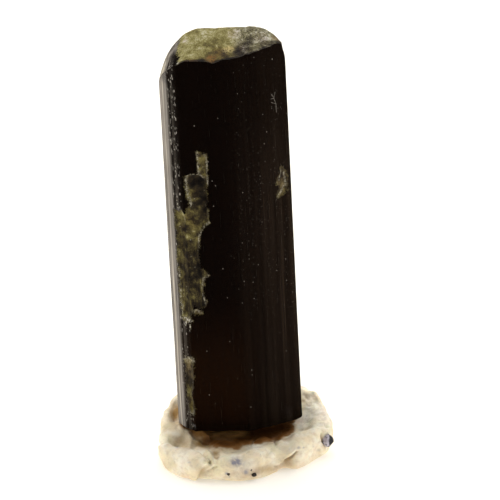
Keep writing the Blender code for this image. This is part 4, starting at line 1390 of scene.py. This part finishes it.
def build_putty():
    """Under rings, side rings and top rings of the dab as one closed skin."""
    angle = np.linspace(-180.0, 180.0, PUTTY_AROUND, endpoint=False)[None, :]
    t = np.concatenate([np.linspace(0.0, 1.0, SIDE_STEPS), np.linspace(1.0, 2.0, TOP_STEPS)[1:-1]])
    t = t[:, None] + 0.0 * angle
    angle = angle + 0.0 * t
    points = dab_skin(angle, t)
    up = dab_skin(angle, np.minimum(t + STEP_UP, 1.99)) - dab_skin(angle, np.maximum(t - STEP_UP, 0.0))
    about = dab_skin(angle + STEP_ROUND, t) - dab_skin(angle - STEP_ROUND, t)
    facing = np.cross(about, up)
    facing /= np.maximum(np.linalg.norm(facing, axis=-1, keepdims=True), 1e-9)
    move = dent(points)
    points = points + facing * move[..., None]
    points[..., 2] = np.maximum(points[..., 2], 0.0)
    for k in (X, Y):
        low, high = cad_low[k] / MM + BOX_MARGIN, cad_high[k] / MM - BOX_MARGIN
        points[..., k] = np.clip(points[..., k], low, high)
    points[0, :, 2] = 0.0
    shares = np.linspace(0.0, 1.0, UNDER_STEPS + 2)[1:-1, None, None]
    under = points[0] * shares
    rings = np.concatenate([under, points])
    middle = dab_skin(np.array([0.0]), np.array([2.0]))[0]
    piece = skin_from_rings("putty_surface", rings, np.zeros(3), middle)
    tan_shade, grey, shade = stains_and_painted_shade(points)
    for label, values in (("dent", move), ("tan_shade", tan_shade), ("grey", grey), ("shade", shade)):
        full = np.concatenate([np.zeros(under.shape[:2]), values])
        store_values(piece, label, np.concatenate([full.ravel(), [0.0, 0.0]]))
    return piece


putty = build_putty()
putty.data.shade_smooth()
putty.visible_glossy = False
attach(putty, "root")
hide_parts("putty")
print("putty:", len(putty.data.polygons), "faces")

# %% [markdown]
# ## The putty's finish
# Mineral putty is a waxy cream: light goes a little way in, so shadows in its folds turn warm. The tan
# in its dents and hollows and the brown round the crystal's foot are painted shade, and the warm orange
# under the crystal is painted bounce light. Its surface is matt with a faint sheen, and grey dust from
# old specimens is kneaded in as smears.

# %% Material of the putty
PUTTY_CREAM = (0.83, 0.715, 0.505, 1.0)
PUTTY_WHITE = (0.89, 0.825, 0.670, 1.0)
PUTTY_GREEN = (0.78, 0.725, 0.485, 1.0)
PUTTY_PINK = (0.79, 0.640, 0.495, 1.0)
PUTTY_DULL = (0.56, 0.470, 0.350, 1.0)
# tan painted shade for the dents and hollows
PUTTY_TAN_SHADE = (0.35, 0.195, 0.052, 1.0)
PUTTY_GREY = (0.27, 0.26, 0.30, 1.0)
# painted warm bounce light under the crystal's foot
PUTTY_UNDER_PAINTED_BOUNCE = (0.80, 0.42, 0.13, 1.0)
SHADE_STOPS = [
    (0.2, (0.42, 0.29, 0.165, 1.0)), (0.42, (0.27, 0.135, 0.048, 1.0)), (0.6, (0.2, 0.082, 0.018, 1.0)),
    (0.92, (0.1, 0.037, 0.007, 1.0)),
]


# painted warm bounce light in the shade under the crystal's foot: axis, from, to
PAINTED_BOUNCE_ZONE = [(Y, -2.7, -1.5), (Y, 2.0, 0.0), (X, 0.6, -0.9), (X, -6.0, -4.8), (Z, 2.6, 2.0)]
DOT_SHARE = 0.35
DOT_SHOW = 0.8
WAX_DEPTH = 0.0006
PUTTY_BUMP = 0.00009


def make_putty_material():
    """Cream with green, pink and white clouds, tan painted shade in hollows, grey smears, painted shade
    and bounce light round the crystal's foot, and a waxy depth.
    """
    material, tree, shader = new_material("mineral_putty")
    place = object_place(tree)
    cloud = noise(tree, place, 0.55, 5.0, 0.6)
    tint = noise(tree, drawn_out(tree, place, 1.3), 0.42, 4.0, 0.6)
    fleck = noise(tree, place, 3.2, 5.0, 0.65)
    body = mix_colour(tree, ramp(tree, cloud, 0.40, 0.62), PUTTY_CREAM, PUTTY_WHITE)
    body = mix_colour(tree, ramp(tree, tint, 0.48, 0.34, 0.0, 0.6), body, PUTTY_GREEN)
    body = mix_colour(tree, ramp(tree, tint, 0.52, 0.66, 0.0, 0.6), body, PUTTY_PINK)
    kneaded = noise(tree, drawn_out(tree, place, 1.5), 1.9, 5.0, 0.7)
    body = mix_colour(tree, ramp(tree, kneaded, 0.52, 0.36, 0.0, 0.38), body, PUTTY_DULL)
    # painted shade: tan in the dents and in the listed hollows
    hollow = ramp(tree, attribute(tree, "dent"), -0.08, -0.48, 0.0, 0.48)
    tan_shade = maths(tree, "MAXIMUM", hollow, attribute(tree, "tan_shade"))
    tan_shade = product(tree, tan_shade, ramp(tree, fleck, 0.25, 0.60, 0.75, 1.0))
    body = mix_colour(tree, tan_shade, body, PUTTY_TAN_SHADE)
    smear = product(tree, attribute(tree, "grey"), ramp(tree, fleck, 0.36, 0.60, 0.5, 1.3))
    body = mix_colour(tree, smear, body, PUTTY_GREY)
    shade = product(tree, attribute(tree, "shade"), ramp(tree, cloud, 0.35, 0.60, 0.88, 1.06))
    deep = colour_scale(tree, product(tree, shade, 0.5), SHADE_STOPS)
    body = mix_colour(tree, ramp(tree, shade, 0.0, 0.75), body, deep)
    # painted warm bounce light in the shade under the crystal's foot
    under = zone(tree, axes_of(tree, place), PAINTED_BOUNCE_ZONE)
    body = mix_colour(tree, under, body, PUTTY_UNDER_PAINTED_BOUNCE)
    dots = product(tree, flecks(tree, place, 1.5, 0.09, DOT_SHARE), DOT_SHOW)
    body = mix_colour(tree, dots, body, PUTTY_GREY)
    plug(tree, shader, {
        "Base Color": body,
        "Roughness": 0.50,
        "IOR": 1.46,
        "Specular IOR Level": 0.22,
        "Subsurface Weight": 0.20,
        "Subsurface Scale": WAX_DEPTH,
        "Subsurface Radius": (1.0, 0.70, 0.42),
    })
    bump = add(tree, "Bump", {"Strength": 0.6, "Distance": PUTTY_BUMP, "Height": fleck})
    plug(tree, shader, {"Normal": bump.outputs[0]})
    return material


putty.data.materials.append(make_putty_material())
print("putty material:", len(putty.data.materials[0].node_tree.nodes), "nodes")

# %% [markdown]
# ## Grit in the putty
# Crumbs of stone stick to putty. Each grain is a ball cut by a few random planes:
# a point's distance from the middle is the least distance to any plane along its
# direction, which gives flat facets and crisp corners.

# %% Grains of grit
# name, middle, half sizes, turn in degrees, finish
GRIT = [
    ("grit_right", (8.26, -3.05, 1.55), (0.58, 0.60, 0.72), 24, "grit_pale"),
    ("grit_front_upper", (0.43, -8.30, 1.20), (0.19, 0.30, 0.32), 10, "grit_dark"),
    ("grit_front_lower", (0.80, -8.45, 0.62), (0.27, 0.30, 0.19), -20, "grit_dark"),
    ("grit_front_left", (-1.83, -8.575, 0.85), (0.20, 0.26, 0.22), 35, "grit_dark"),
]
GRAIN_AROUND = 72
GRAIN_RINGS = 40
FACETS = 22
FACET_DEPTHS = (0.72, 0.95)
GRAIN_ROUGH = 0.03


def build_grain(name, middle, half, turn, seed):
    """Directions on a sphere, each as long as the nearest of the planes allows."""
    planes = np.random.default_rng(seed).normal(size=(FACETS, 3))
    planes /= np.linalg.norm(planes, axis=1, keepdims=True)
    depth = np.random.default_rng(seed + 1).uniform(*FACET_DEPTHS, FACETS)
    lon = np.linspace(0.0, 2 * math.pi, GRAIN_AROUND, endpoint=False)[None, :]
    lat = np.linspace(-math.pi / 2, math.pi / 2, GRAIN_RINGS + 2)[:, None]
    way = stack(np.cos(lat) * np.cos(lon), np.cos(lat) * np.sin(lon), np.sin(lat) + 0 * lon)
    reach = np.min(depth / np.maximum(way @ planes.T, 0.05), axis=-1)
    reach = np.minimum(reach, 1.0) * (1.0 + GRAIN_ROUGH * rough(way, 0.3, seed + 2))
    local = way * reach[..., None] * np.array(half)
    angle = math.radians(turn)
    x = local[..., 0] * math.cos(angle) - local[..., 1] * math.sin(angle)
    y = local[..., 0] * math.sin(angle) + local[..., 1] * math.cos(angle)
    points = stack(x, y, local[..., 2]) + np.array(middle)
    return skin_from_rings(name + "_surface", points[1:-1], points[0, 0], points[-1, 0])


print("grains:", len(GRIT), "with", FACETS, "facets each")

# %% [markdown]
# ## Finish of the grit
# The pale crumb is lilac grey with a dark half, the others are nearly black with brown specks: dull
# stone, so it needs no gloss. One material does both, with its two colours handed in.

# %% Finish of the grit
GRIT_FINISHES = {
    "grit_pale": ((0.47, 0.43, 0.49, 1.0), (0.03, 0.03, 0.035, 1.0)),
    "grit_dark": ((0.035, 0.028, 0.022, 1.0), (0.20, 0.15, 0.11, 1.0)),
}
SPECKED_FROM = 0.56
DARK_HALF_X = 8.30
GRAIN_CREASE = 25.0


def make_grit_material(name, colour, speck):
    """A dull stone colour with specks where a noise is high, and past a ragged line."""
    material, tree, shader = new_material(name)
    place = object_place(tree)
    fleck = noise(tree, place, 3.4, 5.0, 0.65)
    specks = ramp(tree, fleck, SPECKED_FROM, SPECKED_FROM + 0.05)
    split = [(axes_of(tree, place)[X], 1.0), (fleck, 0.9), (SPECKED_FROM, -0.9)]
    half = ramp(tree, weighted(tree, -DARK_HALF_X, split), -0.05, 0.08)
    body = mix_colour(tree, maths(tree, "MAXIMUM", specks, half), colour, speck)
    bump = add(tree, "Bump", {"Strength": 0.7, "Distance": 0.00006, "Height": fleck})
    plug(tree, shader, {"Base Color": body, "Roughness": 0.6, "Normal": bump.outputs[0]})
    return material


grit_materials = {name: make_grit_material(name, *pair) for name, pair in GRIT_FINISHES.items()}
for number, (name, middle, half, turn, finish) in enumerate(GRIT):
    grain = build_grain(name, middle, half, turn, 70 + 5 * number)
    grain.data.shade_smooth()
    grain.data.set_sharp_from_angle(angle=math.radians(GRAIN_CREASE))
    grain.data.materials.append(grit_materials[finish])
    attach(grain, "root")
    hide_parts(name)
print("grains dressed:", [row[0] for row in GRIT])

# %% [markdown]
# ## The floor
# The specimen stands on white card that runs out past the picture. A plane would
# do; a thick disc built from rings is closed like every other piece. The card
# glows a little of its own, less where the camera sees it, so that it stays pale
# and the putty's foot gets light from below.

# %% Floor
FLOOR_RINGS = [20.0, 60.0, 300.0, 1500.0]
FLOOR_AROUND = 96
FLOOR_THICKNESS = 5.0
CARD_COLOUR = (0.92, 0.885, 0.81, 1.0)
CARD_GLOW_COLOUR = (1.0, 0.98, 0.92, 1.0)
CARD_GLOW = (0.74, 0.20)


def build_floor():
    """A flat disc of rings that the specimen stands on."""
    turn = np.linspace(0.0, 2 * math.pi, FLOOR_AROUND, endpoint=False)[None, :]
    reach = np.array(FLOOR_RINGS)[:, None]
    top = stack(reach * np.cos(turn), reach * np.sin(turn), 0.0 * turn)
    drop = np.array([0.0, 0.0, -FLOOR_THICKNESS])
    rings = np.concatenate([top + drop, top[::-1]])
    floor = skin_from_rings("floor", rings, drop, np.zeros(3))
    material, tree, shader = new_material("white_card")
    seen = add(tree, "LightPath").outputs["Is Camera Ray"]
    plug(tree, shader, {
        "Base Color": CARD_COLOUR,
        "Roughness": 0.9,
        "Specular IOR Level": 0.0,
        "Emission Color": CARD_GLOW_COLOUR,
        "Emission Strength": ramp(tree, seen, 0.0, 1.0, *CARD_GLOW),
    })
    floor.data.materials.append(material)
    floor.visible_glossy = False
    return floor


floor = build_floor()
print("floor size:", [round(v / MM) for v in floor.dimensions], "mm")

# %% [markdown]
# ## The light tent
# Cloth walls light a specimen softly from all sides. Lamps on stands would leave
# hot spots on a glassy prism, and modelled walls would have to be hidden from
# the camera, so the walls are directions of the world: a roof and a back that
# shine, and a front that is dim. What the glassy faces mirror is set apart, as a
# photographer does with black card: only one pale strip, low at the left.

# %% Light tent
ROOF_LIGHT = 1.25
BACK_LIGHT = 1.62
FRONT_LIGHT = 0.34
SIDE_MIRROR = 2.0
TOP_MIRROR = 0.8
MIRROR_FLOOR = 0.005
WARM_MIRROR = (1.0, 0.92, 0.84, 1.0)
BACKDROP = (1.0, 1.0, 0.995, 1.0)
BACKDROP_LIGHT = 1.05


def light_tent():
    """World light by direction: bright above and behind, dim in front."""
    world = bpy.data.worlds.new("light_tent")
    bpy.context.scene.world = world
    world.use_nodes = True
    tree = world.node_tree
    tree.nodes.clear()
    way = add(tree, "TexCoord").outputs["Generated"]
    axes = axes_of(tree, way)
    behind = ramp(tree, axes[Y], -0.40, 0.40)
    roof = zone(tree, axes, [(Z, 0.35, 0.85), (Y, -0.30, 0.30)])
    soft = {"Value": behind, "To Min": FRONT_LIGHT, "To Max": BACK_LIGHT}
    soft = weighted(tree, add(tree, "MapRange", soft).outputs[0], [(roof, ROOF_LIGHT)])
    level = {0: stretch(tree, way, (1.0, 1.0, 0.0))}
    level = axes_of(tree, add(tree, "VectorMath", level, operation="NORMALIZE").outputs[0])
    left = product(tree, zone(tree, axes, [(X, -0.35, -0.60), (Z, 0.05, -0.25)]),
                   zone(tree, level, [(Y, 0.45, 0.53), (Y, 0.70, 0.60)]))
    top = ramp(tree, axes[Z], 0.2, 0.8)
    mirror = weighted(tree, MIRROR_FLOOR, [(left, SIDE_MIRROR), (top, TOP_MIRROR)])
    path = add(tree, "LightPath").outputs
    plain = add(tree, "Background", {"Color": (1.0, 1.0, 1.0, 1.0), "Strength": soft})
    shiny = add(tree, "Background", {"Color": WARM_MIRROR, "Strength": mirror})
    backdrop = add(tree, "Background", {"Color": BACKDROP, "Strength": BACKDROP_LIGHT})
    shown = plain.outputs[0]
    for ray, other in (("Is Glossy Ray", shiny), ("Is Camera Ray", backdrop)):
        shown = add(tree, "MixShader", {0: path[ray], 1: shown, 2: other.outputs[0]}).outputs[0]
    add(tree, "OutputWorld", {"Surface": shown})
    return world


light_tent()
bpy.context.scene.view_settings.view_transform = "Standard"
print("light tent ready")
